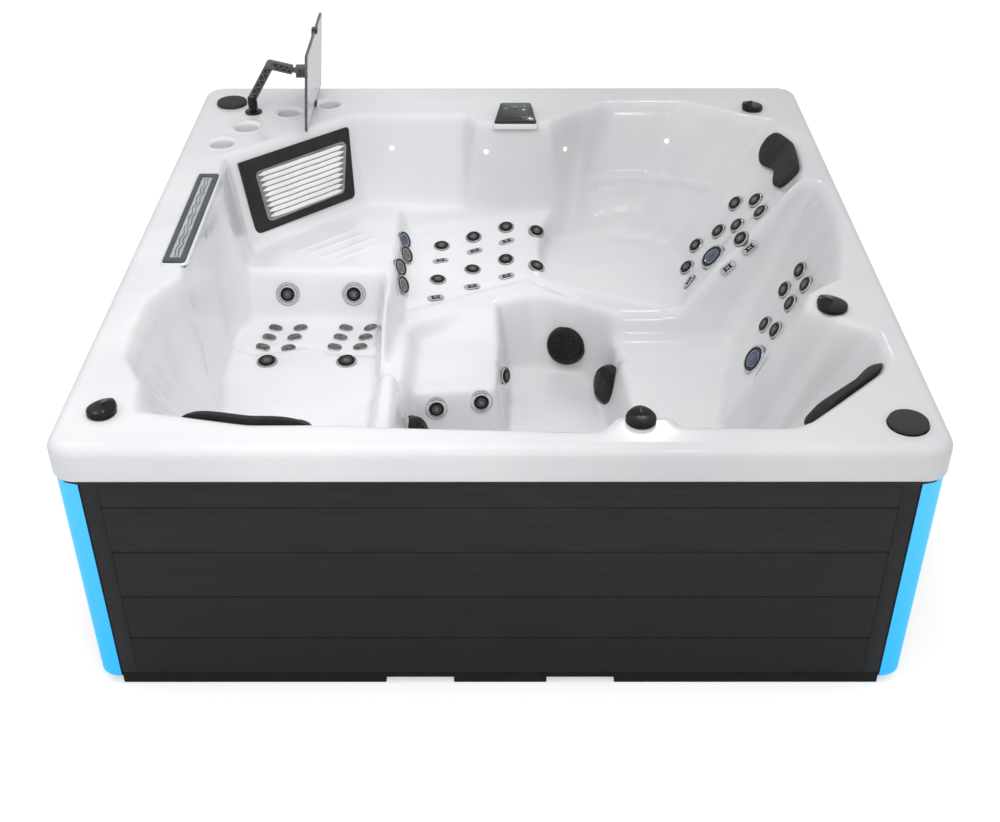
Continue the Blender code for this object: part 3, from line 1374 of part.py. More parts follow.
def upper_arm():
    _, elbow, wrist = arm_points()
    line = wrist - elbow
    unit = line.normalized()
    slot = ELBOW_RADIUS + TRUSS_MARGIN
    neck = wrist - unit * (PAN_HALF_DEPTH + WRIST_RADIUS)
    made = bar_between("upper_arm", elbow, neck, UPPER_ARM_WIDTH, UPPER_ARM_THICKNESS)
    fuse(made, y_rod("eye", elbow, ELBOW_RADIUS, UPPER_ARM_THICKNESS / 2, ROUND_SIDES))
    truss_start = elbow + unit * slot
    truss_cuts(made, truss_start, neck, UPPER_ARM_WIDTH, UPPER_ARM_THICKNESS, 2)
    gap_half = LOWER_ARM_THICKNESS / 2 + SLIDE_GAP
    cut(made, y_rod("fork", elbow, slot, gap_half, ROUND_SIDES))
    half_height = WRIST_HEIGHT / 2
    barrel = [(WRIST_RADIUS, -half_height), (WRIST_RADIUS, half_height)]
    neck_bar = bar_between("neck", neck - unit * TRUSS_MARGIN, wrist, WRIST_HEIGHT * 2 / 3, WRIST_RADIUS)
    fuse(made, neck_bar)
    fuse(made, turned("barrel", barrel, ROUND_SIDES, Matrix.Translation(wrist)))
    radius = PAN_PIN_RADIUS + SLIDE_GAP
    bore = [(radius, -OVERRUN), (radius, OVERRUN)]
    cut(made, turned("bore", bore, PLAIN_SIDES, Matrix.Translation(wrist)))
    half = UPPER_ARM_THICKNESS / 2
    fuse(made, y_rod("pin", elbow, ELBOW_PIN_RADIUS, half, PLAIN_SIDES))
    return finish(moved_origin(made, elbow), "arm")


def pan_block():
    """A yoke round the wrist barrel, with the pan pin through it and the tilt pin across it."""
    _, _, wrist = arm_points()
    half_height = WRIST_HEIGHT / 2
    outer = half_height + GAP + PAN_PLATE
    made = block(
        "pan_block",
        (wrist.x - PAN_BACK, wrist.y - PAN_HALF_DEPTH, wrist.z - outer),
        (wrist.x + PAN_FRONT, wrist.y + PAN_HALF_DEPTH, wrist.z + outer),
    )
    room = WRIST_RADIUS + SLIDE_GAP
    slot = block(
        "slot",
        (wrist.x - OVERRUN, wrist.y - OVERRUN, wrist.z - half_height - GAP),
        (wrist.x + room, wrist.y + OVERRUN, wrist.z + half_height + GAP),
    )
    cut(made, slot)
    pin = [(PAN_PIN_RADIUS, -outer), (PAN_PIN_RADIUS, outer)]
    fuse(made, turned("pin", pin, PLAIN_SIDES, Matrix.Translation(wrist)))
    tilt = wrist + Vector((TILT_OFFSET, 0, 0))
    fuse(made, y_rod("tilt_pin", tilt, TILT_PIN_RADIUS, TILT_PIN_HALF, PLAIN_SIDES))
    return finish(moved_origin(made, wrist), "arm")


def screen_place():
    spot = (SCREEN_X, SCREEN_Y, SCREEN_LEVEL)
    return Matrix.Translation(spot) @ Matrix.Rotation(math.radians(SCREEN_LEAN), 4, "Y")


def screen_holder():
    """A back bar with a hook over each long edge of the screen, and two lugs on the tilt pin."""
    _, _, wrist = arm_points()
    tilt = wrist + Vector((TILT_OFFSET, 0, 0))
    place = screen_place()
    local_tilt = place.inverted() @ tilt
    back = -SCREEN_THICKNESS / 2 - GAP
    top = SCREEN_HEIGHT / 2 + GAP
    left = CLAMP_CENTRE - CLAMP_WIDTH / 2
    right = CLAMP_CENTRE + CLAMP_WIDTH / 2
    reach = SCREEN_THICKNESS / 2 + GAP + CLAMP_THICKNESS
    profile = [
        (back - CLAMP_THICKNESS, -top - CLAMP_THICKNESS),
        (reach, -top - CLAMP_THICKNESS),
        (reach, -top + CLAMP_GRIP),
        (reach - CLAMP_THICKNESS, -top + CLAMP_GRIP),
        (reach - CLAMP_THICKNESS, -top),
        (back, -top),
        (back, top),
        (reach - CLAMP_THICKNESS, top),
        (reach - CLAMP_THICKNESS, top - CLAMP_GRIP),
        (reach, top - CLAMP_GRIP),
        (reach, top + CLAMP_THICKNESS),
        (back - CLAMP_THICKNESS, top + CLAMP_THICKNESS),
    ]
    outline = [Vector((x, left, z)) for x, z in profile]
    made = prism("screen_holder", outline, (0, CLAMP_WIDTH, 0))
    low_y = local_tilt.y - LUG_OUTER
    plate = block(
        "plate",
        (back - CLAMP_THICKNESS, low_y, local_tilt.z - LUG_HALF_HEIGHT),
        (back, right, local_tilt.z + LUG_HALF_HEIGHT),
    )
    fuse(made, plate)
    for side in (-1, 1):
        ends = sorted((local_tilt.y + side * LUG_INNER, local_tilt.y + side * LUG_OUTER))
        lug = block(
            "lug",
            (local_tilt.x - LUG_HALF_HEIGHT, ends[0], local_tilt.z - LUG_HALF_HEIGHT),
            (back - CLAMP_THICKNESS / 2, ends[1], local_tilt.z + LUG_HALF_HEIGHT),
        )
        fuse(made, lug)
    hole = y_rod("hole", local_tilt, TILT_PIN_RADIUS + GAP, OVERRUN + TILT_PIN_HALF, PLAIN_SIDES)
    cut(made, hole)
    made.data.transform(place)
    return finish(moved_origin(made, tilt), "holder")


def screen():
    place = screen_place()
    half = SCREEN_THICKNESS / 2
    loops = []
    for x in (-half, half):
        corners = rounded_rectangle(SCREEN_WIDTH / 2, SCREEN_HEIGHT / 2, SCREEN_CORNER, 0, 3)
        loops.append([Vector((x, p.x, p.y)) for p in corners])
    made = loft("screen", loops)
    made.matrix_world = place
    return finish(made, "screen")


def disc_cutter(name, place, radius, foot, neck_radius, neck_depth):
    """The room of a disc on a neck, both a little larger than the real ones."""
    rings = [(neck_radius, -neck_depth), (neck_radius, foot), (radius, foot), (radius, OVERRUN)]
    return turned(name, rings, ROUND_SIDES, place)


def suction_covers(body, surface):
    """Domed drain covers with ribs, each on a neck through the wall of the footwell."""
    for i, spot in enumerate(COVER_SHARES, 1):
        target = at_shares(spot, spot[2] * RIM_HEIGHT)
        point, normal = seat_on(surface, target, COVER_RADIUS / 2)
        place = facing(point, normal)
        edge = COVER_THICKNESS / 2
        rings = [
            (COVER_NECK_RADIUS, -COVER_NECK_DEPTH),
            (COVER_NECK_RADIUS, -SEAT_IN),
            (COVER_RADIUS, -SEAT_IN),
            (COVER_RADIUS, edge),
            (COVER_RADIUS - edge, COVER_THICKNESS),
        ]
        made = turned(f"suction_cover_{i}", rings, ROUND_SIDES, place)
        for share in COVER_RIB_SHARES:
            offset = share * COVER_RADIUS
            half = math.sqrt(COVER_RADIUS**2 - offset**2) - edge
            rib = block(
                "rib",
                (offset - COVER_RIB_WIDTH / 2, -half, edge),
                (offset + COVER_RIB_WIDTH / 2, half, COVER_THICKNESS + COVER_RIB_HEIGHT),
            )
            rib.matrix_world = place
            fuse(made, rib)
        finish(made, "cover")
        cutter = disc_cutter(
            "seat",
            place,
            COVER_RADIUS + GAP,
            -SEAT_IN - GAP,
            COVER_NECK_RADIUS + GAP,
            COVER_NECK_DEPTH,
        )
        cut(body, cutter)


def pump(name, spot):
    """A motor and its wet end on a foot plate that stands on the pan."""
    x, y, _ = at_shares(spot, 0)
    foot = BASE_FLOOR + GAP
    centre = Vector((x, y, PUMP_AXIS_LEVEL))
    half = MOTOR_LENGTH / 2
    made = rod(name, centre - Vector((half, 0, 0)), centre + Vector((half, 0, 0)), MOTOR_RADIUS, ROUND_SIDES)
    start = centre + Vector((half - OVERRUN, 0, 0))
    end = centre + Vector((half + WET_END_LENGTH, 0, 0))
    fuse(made, rod("wet_end", start, end, WET_END_RADIUS, ROUND_SIDES))
    fuse(
        made,
        block(
            "foot",
            (x - half, y - PUMP_FOOT_WIDTH / 2, foot),
            (end.x, y + PUMP_FOOT_WIDTH / 2, foot + PUMP_FOOT_THICKNESS),
        ),
    )
    fuse(
        made,
        block(
            "cradle",
            (x - half / 2, y - PUMP_FOOT_WIDTH / 3, foot),
            (x + half / 2, y + PUMP_FOOT_WIDTH / 3, PUMP_AXIS_LEVEL - MOTOR_RADIUS / 2),
        ),
    )
    reach = Vector((PUMP_PORT_REACH, 0, 0))
    fuse(made, rod("inlet", end - reach, end + reach, PUMP_PORT_RADIUS, PLAIN_SIDES))
    return finish(made, "motor")


def spa_pack():
    """The control box, with the heater tube lying along its top."""
    foot = BASE_FLOOR + GAP
    right = SPA_PACK_LEFT + SPA_PACK_WIDTH
    back = SPA_PACK_FRONT + SPA_PACK_DEPTH
    top = foot + SPA_PACK_HEIGHT
    made = block("spa_pack", (SPA_PACK_LEFT, SPA_PACK_FRONT, foot), (right, back, top))
    middle = (SPA_PACK_FRONT + back) / 2
    level = top + HEATER_RADIUS / 2
    start = (SPA_PACK_LEFT - HEATER_OVERHANG, middle, level)
    end = (right + HEATER_OVERHANG, middle, level)
    fuse(made, rod("heater", start, end, HEATER_RADIUS, PLAIN_SIDES))
    return finish(made, "box")


def air_blower():
    centre = at_shares(BLOWER_SHARES, BASE_FLOOR + GAP)
    edge = BLOWER_RADIUS / 4
    rings = [
        (BLOWER_RADIUS, 0),
        (BLOWER_RADIUS, BLOWER_HEIGHT - edge),
        (BLOWER_RADIUS - edge, BLOWER_HEIGHT),
        (BLOWER_PORT_RADIUS, BLOWER_HEIGHT),
        (BLOWER_PORT_RADIUS, BLOWER_HEIGHT + edge),
    ]
    return finish(turned("air_blower", rings, ROUND_SIDES, Matrix.Translation(centre)), "motor")


def wall_at(surface, centre, angle, level):
    """The inside face of the shell, met level from a centre, and its normal."""
    origin = Vector((centre.x, centre.y, level))
    direction = Vector((math.cos(angle), math.sin(angle), 0))
    point, normal, _, _ = surface.ray_cast(origin, direction)
    return point, normal


def pillow(name, surface, centre, start, end, top, foot, thickness):
    """A crowned head rest that follows the wall between two angles about a centre."""
    steps = PILLOW_STEPS
    rows = PILLOW_ROWS
    back = []
    front = []
    for i in range(steps + 1):
        u = 2 * i / steps - 1
        angle = start + (end - start) * i / steps
        half = (top - foot) / 2 * (1 - PILLOW_TAPER * abs(u) ** PILLOW_POWER)
        for j in range(rows + 1):
            v = 2 * j / rows - 1
            level = (top + foot) / 2 + half * v
            point, normal = wall_at(surface, centre, angle, level)
            flat = Vector((normal.x, normal.y, 0)).normalized()
            crown = (1 - abs(u) ** PILLOW_POWER) * (1 - abs(v) ** PILLOW_POWER)
            depth = PILLOW_EDGE + (thickness - PILLOW_EDGE) * math.sqrt(max(crown, 0))
            back.append(point + flat * PILLOW_CLEARANCE)
            front.append(point + flat * (PILLOW_CLEARANCE + depth))
    count = len(back)
    width = rows + 1
    faces = []
    for i in range(steps):
        for j in range(rows):
            a = i * width + j
            beyond = a + width
            quad = (a, a + 1, beyond + 1, beyond)
            faces.append(quad)
            faces.append(tuple(count + k for k in reversed(quad)))
    border = list(range(width))
    border += [i * width + rows for i in range(1, steps + 1)]
    border += [steps * width + j for j in range(rows - 1, -1, -1)]
    border += [i * width for i in range(steps - 1, 0, -1)]
    for a, b in zip(border, border[1:] + border[:1]):
        faces.append((a, b, count + b, count + a))
    return finish(mesh_object(name, back + front, faces), "pillow")


def pillows(surface):
    for name, angles in PILLOW_ANGLES.items():
        centre = at_shares(PILLOW_CENTRE_SHARES[name], 0)
        start, end = (math.radians(a) for a in angles)
        top, foot, thick = PILLOW_SIZE_SHARES[name]
        levels = (RIM_HEIGHT * top, RIM_HEIGHT * foot)
        pillow(name, surface, centre, start, end, *levels, PILLOW_THICKNESS * thick)


def upright_facing(spot, normal):
    """Like facing, with the X axis kept level where the surface allows it."""
    out = Vector(normal).normalized()
    along = Vector((0, 0, 1)).cross(out)
    if along.length < math.sin(math.radians(SHARP_ANGLE)):
        along = Vector((1, 0, 0))
    along = (along - out * along.dot(out)).normalized()
    place = Matrix((along, out.cross(along), out)).transposed().to_4x4()
    place.translation = spot
    return place


def pill_loop(length, width, level, sides=3):
    """A slot-shaped outline with half-round ends."""
    radius = width / 2
    reach = length / 2 - radius
    points = []
    for side in (1, -1):
        for i in range(sides + 1):
            angle = math.radians(-90 + 180 * i / sides) + (0 if side > 0 else math.pi)
            points.append(
                Vector((side * reach + radius * math.cos(angle), radius * math.sin(angle), level))
            )
    return points


def round_jet(place, radius, face_share=None):
    """A flange on a barrel, domed, or recessed for a turning face."""
    rings = [(BARREL_RADIUS, -BARREL_DEPTH), (BARREL_RADIUS, 0), (radius, 0)]
    if not face_share:
        rings.append((radius * JET_NOZZLE_SHARE, JET_PROUD))
        return turned("jet", rings, JET_SIDES, place)
    floor = JET_PROUD - FACE_DEPTH
    rings += [(radius, JET_PROUD), (radius * face_share, JET_PROUD), (radius * face_share, floor)]
    rings += [(FACE_PIN_RADIUS + GAP, floor)]
    rings += [(FACE_PIN_RADIUS + GAP, floor - FACE_PIN_DEPTH - GAP)]
    return turned("jet", rings, ROUND_SIDES, place)


def slot_jet(place):
    """A slot-shaped flange on a round barrel."""
    loops = [pill_loop(SLOT_LENGTH, SLOT_WIDTH, 0)]
    loops.append(pill_loop(SLOT_LENGTH - JET_PROUD, SLOT_WIDTH - JET_PROUD, JET_PROUD))
    made = loft("jet", loops)
    made.matrix_world = place
    barrel = [(BARREL_RADIUS, -BARREL_DEPTH), (BARREL_RADIUS, JET_PROUD / 2)]
    return fuse(made, turned("barrel", barrel, BARREL_SIDES, place))


def barrel_hole(place, sides):
    """The hole that a jet's barrel takes in the shell."""
    radius = BARREL_RADIUS + GAP
    rings = [(radius, -BARREL_DEPTH - OVERRUN), (radius, OVERRUN)]
    return turned("hole", rings, sides, place)


def rise_under(surface, place, radius):
    """How far the shell stands above a flange's plane within its radius."""
    out = place.to_3x3().col[2]
    rise = 0
    for i in range(JET_SIDES):
        angle = math.tau * i / JET_SIDES
        edge = place @ Vector((radius * math.cos(angle), radius * math.sin(angle), OVERRUN))
        point, _, _, _ = surface.ray_cast(edge, -out, OVERRUN * 2)
        if point:
            rise = max(rise, OVERRUN - (point - edge).length)
    return rise


def jet_face(name, place, radius):
    """The turning face of a large jet, on a pin in its barrel."""
    foot = JET_PROUD - FACE_DEPTH + GAP
    outer = radius * FACE_SHARE - SLIDE_GAP
    rings = [
        (FACE_PIN_RADIUS, foot - FACE_PIN_DEPTH),
        (FACE_PIN_RADIUS, foot),
        (outer, foot),
        (outer, JET_PROUD),
        (outer * JET_NOZZLE_SHARE, JET_PROUD + FACE_DEPTH),
        (outer * JET_DEEP_SHARE, JET_PROUD),
    ]
    return finish(turned(name, rings, ROUND_SIDES, place), "jet_face")


def calf_slots():
    """Two groups of slots in the left seat, each row a little further out than the last."""
    spots = []
    for group in CALF_GROUP_SHARES:
        for row in range(CALF_ROWS):
            for column in (0, 1) if row % 2 else (1, 0):
                x = HALF_WIDTH * group + column * CALF_COLUMN - row * CALF_SHIFT
                y = CALF_FIRST - row * CALF_ROW
                spots.append((x / HALF_WIDTH, y / HALF_DEPTH, LEFT_SEAT_LEVEL / RIM_HEIGHT))
    return tuple(spots)


def banks():
    """Each bank's jets, in the order in which its pipe runs from one to the next."""
    slots = calf_slots()
    half = len(slots) // 2
    calf = [("big", CALF_BIG_SHARES[0])]
    calf += [("slot", spot) for spot in slots[:half]]
    calf += [("round", spot) for spot in CALF_ROUND_SHARES]
    calf += [("slot", spot) for spot in reversed(slots[half:])]
    calf += [("big", CALF_BIG_SHARES[1])]
    return {
        "jets_calf": calf,
        "jets_divider": DIVIDER_JET_SHARES,
        "jets_legs": LEG_JET_SHARES,
        "jets_back": BACK_JET_SHARES,
        "jets_right": RIGHT_JET_SHARES,
        "jets_foot": FOOT_JET_SHARES,
    }


def jet_banks(body, surface):
    """Every jet, its hole in the shell and the pipe behind the shell that joins its bank."""
    sizes = {"round": JET_RADIUS, "slot": JET_RADIUS, "big": BIG_RADIUS, "large": LARGE_RADIUS}
    cutters = []
    faces = 0
    for name, jets in banks().items():
        made = None
        ends = []
        for kind, spot in jets:
            radius = sizes[kind]
            point, normal = seat_on(surface, at_shares(spot, spot[2] * RIM_HEIGHT), JET_RADIUS)
            flat = upright_facing(point, normal)
            lift = rise_under(surface, flat, radius) + GAP
            place = flat @ Matrix.Translation((0, 0, lift))
            turning = kind in ("big", "large")
            if kind == "slot":
                piece = slot_jet(place)
            else:
                piece = round_jet(place, radius, FACE_SHARE if turning else None)
            if turning:
                faces += 1
                jet_face(f"jet_face_{faces}", place, radius)
            sides = {"round": JET_SIDES, "slot": BARREL_SIDES}.get(kind, ROUND_SIDES)
            cutters.append(barrel_hole(place, sides))
            end = place @ Vector((0, 0, BARREL_RADIUS - BARREL_DEPTH))
            drop = [end - Vector((0, 0, CALF_DROP))] if kind == "big" else []
            ends += drop + [end] if ends else [end] + drop
            if made:
                fuse(made, piece)
            else:
                piece.name = name
                made = piece
        for i, (start, end) in enumerate(zip(ends, ends[1:])):
            radius = MANIFOLD_RADIUS if i % 2 else MANIFOLD_RADIUS * PIPE_STEP_SHARE
            overlap = (end - start).normalized() * (BARREL_RADIUS - MANIFOLD_RADIUS)
            turn = PIPE_TURN * (i + 1)
            fuse(made, rod("pipe", start - overlap, end + overlap, radius, PIPE_SIDES, turn))
        made.name = name
        finish(made, "jet")
    for cutter in cutters:
        cut(body, cutter)


def main():
    clear_scene()
    body = shell()
    surface = surface_of(body)
    suction_covers(body, surface)
    jet_banks(body, surface)
    pillows(surface)
    opening = filter_frame(body)
    filter_grille(opening)
    filter_housing()
    filter_cartridge()
    weir_flap()
    waterfall(body)
    control_panel(body)
    buttons()
    for i, spot in enumerate(SPEAKER_SHARES, 1):
        speaker(f"speaker_{i}", spot)
    knobs_and_valves(body)
    arm_base(body)
    finish(body, "acrylic")
    lower_arm()
    upper_arm()
    pan_block()
    screen_holder()
    screen()
    base_pan()
    cabinet_frame()
    panels()
    corner_lights()
    for i, spot in enumerate(PUMP_SHARES, 1):
        pump(f"pump_{i}", spot)
    spa_pack()
    air_blower()


main()
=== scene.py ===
# Looks of the hot tub: smooth acrylic shell, fittings, boards, lit corners and studio.
import json
import math

import bmesh
import bpy
import numpy as np
from mathutils import Matrix, Vector
from mathutils.bvhtree import BVHTree


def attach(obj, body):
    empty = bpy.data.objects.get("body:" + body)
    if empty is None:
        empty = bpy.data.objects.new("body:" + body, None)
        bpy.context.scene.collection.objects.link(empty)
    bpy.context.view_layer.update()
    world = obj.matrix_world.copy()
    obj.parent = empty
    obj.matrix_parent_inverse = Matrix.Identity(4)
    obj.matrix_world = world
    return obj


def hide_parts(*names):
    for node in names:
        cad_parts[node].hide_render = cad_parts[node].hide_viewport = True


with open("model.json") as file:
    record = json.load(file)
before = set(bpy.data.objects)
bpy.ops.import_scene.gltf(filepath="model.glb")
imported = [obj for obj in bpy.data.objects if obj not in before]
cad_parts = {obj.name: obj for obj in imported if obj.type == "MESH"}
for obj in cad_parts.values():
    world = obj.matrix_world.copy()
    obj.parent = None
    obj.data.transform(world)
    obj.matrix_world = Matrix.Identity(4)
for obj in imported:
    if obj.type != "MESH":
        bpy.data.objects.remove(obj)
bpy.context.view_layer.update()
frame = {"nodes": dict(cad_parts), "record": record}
slotOf = {part["node"]: part["material_slot"] for part in frame["record"]["subparts"]}
print("frame loaded,", len(frame["nodes"]), "nodes")


# materials: name, colour, its darker and paler tone, scale of the mottling, roughness and its range,
# and then what else a finish has; one number stands for a grey, and grain is scale, strength and height
finishes = {
    "acrylic": ("acrylic", (0.69, 0.695, 0.705), (0.68, 0.685, 0.697), (0.74, 0.745, 0.753), 2.2, 0.2,
                (0.16, 0.28), {"stretch": (1, 1.5, 1), "detail": 6.0, "coat": 0.35, "coatRoughness": 0.08}),
    "board": ("board", (0.013, 0.013, 0.0135), (0.010, 0.010, 0.0105), (0.018, 0.018, 0.0185), 9.0, 0.66,
              (0.52, 0.72), {"stretch": (0.6, 0.6, 6), "detail": 8.0, "grain": (42.0, 0.35, 0.0012),
                             "band": (0.3, 0.7), "specular": 0.3}),
    "frame": ("post", 0.012, (0.010, 0.010, 0.011), (0.017, 0.017, 0.018), 14.0, 0.5, (0.42, 0.6),
              {"stretch": (1, 1, 3), "grain": (300.0, 0.1, 0.0004), "specular": 0.25}),
    "tray": ("tray", 0.008, 0.006, 0.011, 30.0, 0.7, (0.6, 0.8),
             {"grain": (400.0, 0.12, 0.0004), "specular": 0.2}),
    "faceplate": ("faceplate", 0.018, 0.016, 0.022, 18.0, 0.42, (0.36, 0.5),
                  {"detail": 5.0, "grain": (900.0, 0.12, 0.0002), "specular": 0.3}),
    "bevelGrey": ("bevelGrey", 0.22, 0.19, 0.26, 25.0, 0.35, (0.3, 0.42), {}),
    "grille": ("louvre", (0.78, 0.78, 0.775), (0.74, 0.74, 0.735), (0.83, 0.83, 0.825), 16.0, 0.3,
               (0.24, 0.36), {}),
    # painted shade: a dark sheet just behind the louvres stands for the shade in the hollow behind them
    "grilleBack": ("grilleBack", (0.24, 0.24, 0.23), (0.20, 0.20, 0.19), (0.29, 0.29, 0.28), 50.0, 0.7, None,
                   {"detail": 3.0, "specular": 0.2}),
    "flap": ("flap", (0.05, 0.05, 0.055), (0.04, 0.04, 0.045), (0.07, 0.07, 0.075), 40.0, 0.5, None,
             {"detail": 3.0}),
    "housing": ("housing", 0.6, (0.55, 0.55, 0.56), 0.66, 20.0, 0.5, (0.42, 0.55),
                {"grain": (200.0, 0.1, 0.0004)}),
    "filter": ("filterCloth", (0.6, 0.68, 0.75), (0.52, 0.62, 0.70), (0.68, 0.75, 0.80), 60.0, 0.9, None,
               {"stretch": (1, 1, 0.3), "detail": 6.0, "grain": (700.0, 0.4, 0.0006)}),
    "pillow": ("foam", (0.016, 0.016, 0.0155), (0.012, 0.012, 0.0115), (0.022, 0.022, 0.021), 35.0, 0.6,
               (0.55, 0.75), {"detail": 5.0, "grain": (1400.0, 0.35, 0.0003), "specular": 0.3}),
    "spout": ("spout", (0.062, 0.068, 0.075), (0.050, 0.055, 0.062), (0.080, 0.087, 0.096), 30.0, 0.38,
              (0.3, 0.45), {"stretch": (1, 0.3, 1), "detail": 5.0, "grain": (600.0, 0.1, 0.0002),
                            "specular": 0.3}),
    "spoutWindow": ("spoutPane", (0.32, 0.345, 0.37), (0.27, 0.29, 0.32), (0.42, 0.445, 0.47), 45.0, 0.22,
                    (0.16, 0.3), {"stretch": (1, 0.35, 1), "detail": 3.0, "coat": 0.4}),
    "control": ("panelGloss", (0.008, 0.008, 0.009), (0.007, 0.007, 0.008), (0.013, 0.013, 0.014), 40.0,
                0.16, (0.12, 0.24), {"detail": 3.0, "coat": 0.5}),
    "controlFace": ("panelFace", (0.020, 0.021, 0.023), (0.016, 0.017, 0.019), (0.030, 0.031, 0.034), 60.0,
                    0.1, (0.08, 0.16), {"detail": 3.0, "coat": 0.4}),
    "controlMark": ("panelMark", (0.12, 0.12, 0.125), (0.09, 0.09, 0.095), (0.2, 0.2, 0.205), 90.0, 0.2,
                    None, {"detail": 3.0}),
    "button": ("button", (0.05, 0.05, 0.055), (0.045, 0.045, 0.05), (0.065, 0.065, 0.07), 200.0, 0.35, None,
               {"detail": 3.0}),
    "arm": ("armMetal", 0.13, 0.10, 0.16, 60.0, 0.42, (0.34, 0.48),
            {"detail": 5.0, "grain": (500.0, 0.15, 0.0003), "metallic": 0.2, "specular": 0.2}),
    "holder": ("holderMetal", (0.045, 0.045, 0.047), (0.035, 0.035, 0.037), (0.06, 0.06, 0.062), 60.0, 0.34,
               (0.3, 0.42), {"detail": 5.0, "metallic": 0.3}),
    "screenEdge": ("screenEdge", (0.11, 0.11, 0.112), (0.09, 0.09, 0.092), (0.14, 0.14, 0.142), 50.0, 0.35,
                   (0.25, 0.38), {"metallic": 0.3}),
    "screenFace": ("screenFace", (0.62, 0.63, 0.65), (0.59, 0.60, 0.62), (0.68, 0.69, 0.71), 3.0, 0.12,
                   (0.08, 0.16), {"detail": 3.0, "coat": 0.5}),
    "screenRim": ("screenRim", (0.012, 0.012, 0.013), (0.010, 0.010, 0.011), (0.016, 0.016, 0.017), 60.0,
                  0.3, None, {"detail": 3.0}),
    "fitting": ("fitting", 0.007, 0.005, 0.011, 45.0, 0.2, (0.14, 0.26),
                {"grain": (900.0, 0.08, 0.0002), "specular": 0.28}),
    "speaker": ("speakerCloth", (0.022, 0.022, 0.021), 0.018, (0.032, 0.032, 0.030), 260.0, 0.7, (0.62, 0.8),
                {"detail": 6.0, "grain": (900.0, 0.5, 0.0005)}),
    "valve": ("valveBody", 0.6, 0.56, 0.66, 40.0, 0.5, None, {"detail": 3.0}),
    "cover": ("cover", 0.007, 0.005, 0.011, 60.0, 0.26, (0.2, 0.34),
              {"grain": (500.0, 0.1, 0.0003), "specular": 0.28}),
    "motor": ("motor", (0.06, 0.065, 0.075), (0.05, 0.055, 0.065), (0.08, 0.085, 0.095), 30.0, 0.45, None,
              {"metallic": 0.4}),
    "box": ("packCase", (0.25, 0.26, 0.28), (0.22, 0.23, 0.25), (0.30, 0.31, 0.33), 20.0, 0.45, None,
            {"metallic": 0.5}),
    "jet": ("jetDark", (0.007, 0.007, 0.0075), (0.005, 0.005, 0.006), (0.011, 0.011, 0.012), 220.0, 0.22,
            (0.18, 0.32), {"detail": 3.0, "specular": 0.3}),
    "bezel": ("jetBezel", (0.55, 0.56, 0.58), (0.50, 0.51, 0.53), (0.64, 0.65, 0.67), 160.0, 0.14,
              (0.1, 0.2), {"detail": 3.0, "coat": 0.8}),
    "chrome": ("chromeRing", (0.62, 0.62, 0.63), (0.58, 0.58, 0.59), (0.68, 0.68, 0.69), 120.0, 0.12,
               (0.08, 0.2), {"detail": 3.0, "metallic": 1.0}),
    "lens": ("blueLens", (0.035, 0.045, 0.12), (0.022, 0.028, 0.07), (0.06, 0.07, 0.18), 70.0, 0.14,
             (0.08, 0.18), {"detail": 3.0, "coat": 0.4}),
    "jetGrey": ("jetGrey", (0.16, 0.16, 0.155), (0.12, 0.12, 0.117), (0.21, 0.21, 0.205), 150.0, 0.3,
                (0.22, 0.36), {"detail": 3.0, "metallic": 0.3}),
    "ribbed": ("jetRibs", (0.10, 0.11, 0.10), (0.05, 0.055, 0.05), (0.20, 0.21, 0.20), 180.0, 0.3,
               (0.22, 0.36), {"detail": 3.0, "metallic": 0.1, "coat": 0.3}),
}
sockets = {"specular": "Specular IOR Level", "coat": "Coat Weight", "coatRoughness": "Coat Roughness",
           "metallic": "Metallic"}
# painted shade: the boards' colour darkens towards the bottom and pales towards the top, as light falls from
# above
boardPaintedShade = {"axis": "Z", "from": 0.05, "to": 0.70, "start": 0.45, "end": 1.15}
# painted light and shade: the shell's colour is made paler at the left and low down, and darker at the right
# and on the rim, to stand for how the light falls on it
shellPaintedLight = ({"axis": "X", "from": -0.40, "to": 0.45, "start": 1.06, "end": 0.86},
               {"axis": "Z", "from": 0.32, "to": 0.81, "start": 1.10, "end": 0.95})
# painted shade: the steep walls of the shell are drawn darker than its flat parts
steepPaintedShade = 0.925  # how much of its colour a steep wall of the shell keeps
glow = {"base": (0.012, 0.09, 0.2), "low": (0.02, (0.030, 0.45, 0.91)), "high": (0.70, (0.088, 0.53, 0.98))}


def newMaterial(name, colour, roughness, shine):
    made = bpy.data.materials.new(name)
    made.use_nodes = True
    shader = shaderOf(made)
    shader.inputs["Base Color"].default_value = rgba(colour)
    shader.inputs["Roughness"].default_value = roughness
    for key, value in shine.items():
        shader.inputs[sockets[key]].default_value = value
    return made


def shaderOf(material):
    return material.node_tree.nodes["Principled BSDF"]


def rgba(colour):
    return (colour, colour, colour, 1) if isinstance(colour, float) else (*colour, 1)


# a value is a socket's where the node has one of that name, and else a setting of the node
def addNode(material, kind, **values):
    node = material.node_tree.nodes.new(kind)
    for key, value in values.items():
        if key in node.inputs:
            node.inputs[key].default_value = value
        else:
            setattr(node, key, value)
    return node


def wire(material, start, end):
    material.node_tree.links.new(start, end)


def addRamp(material, low, high):
    ramp = addNode(material, "ShaderNodeValToRGB")
    for element, (position, colour) in zip(ramp.color_ramp.elements, (low, high)):
        element.position = position
        element.color = rgba(colour)
    return ramp


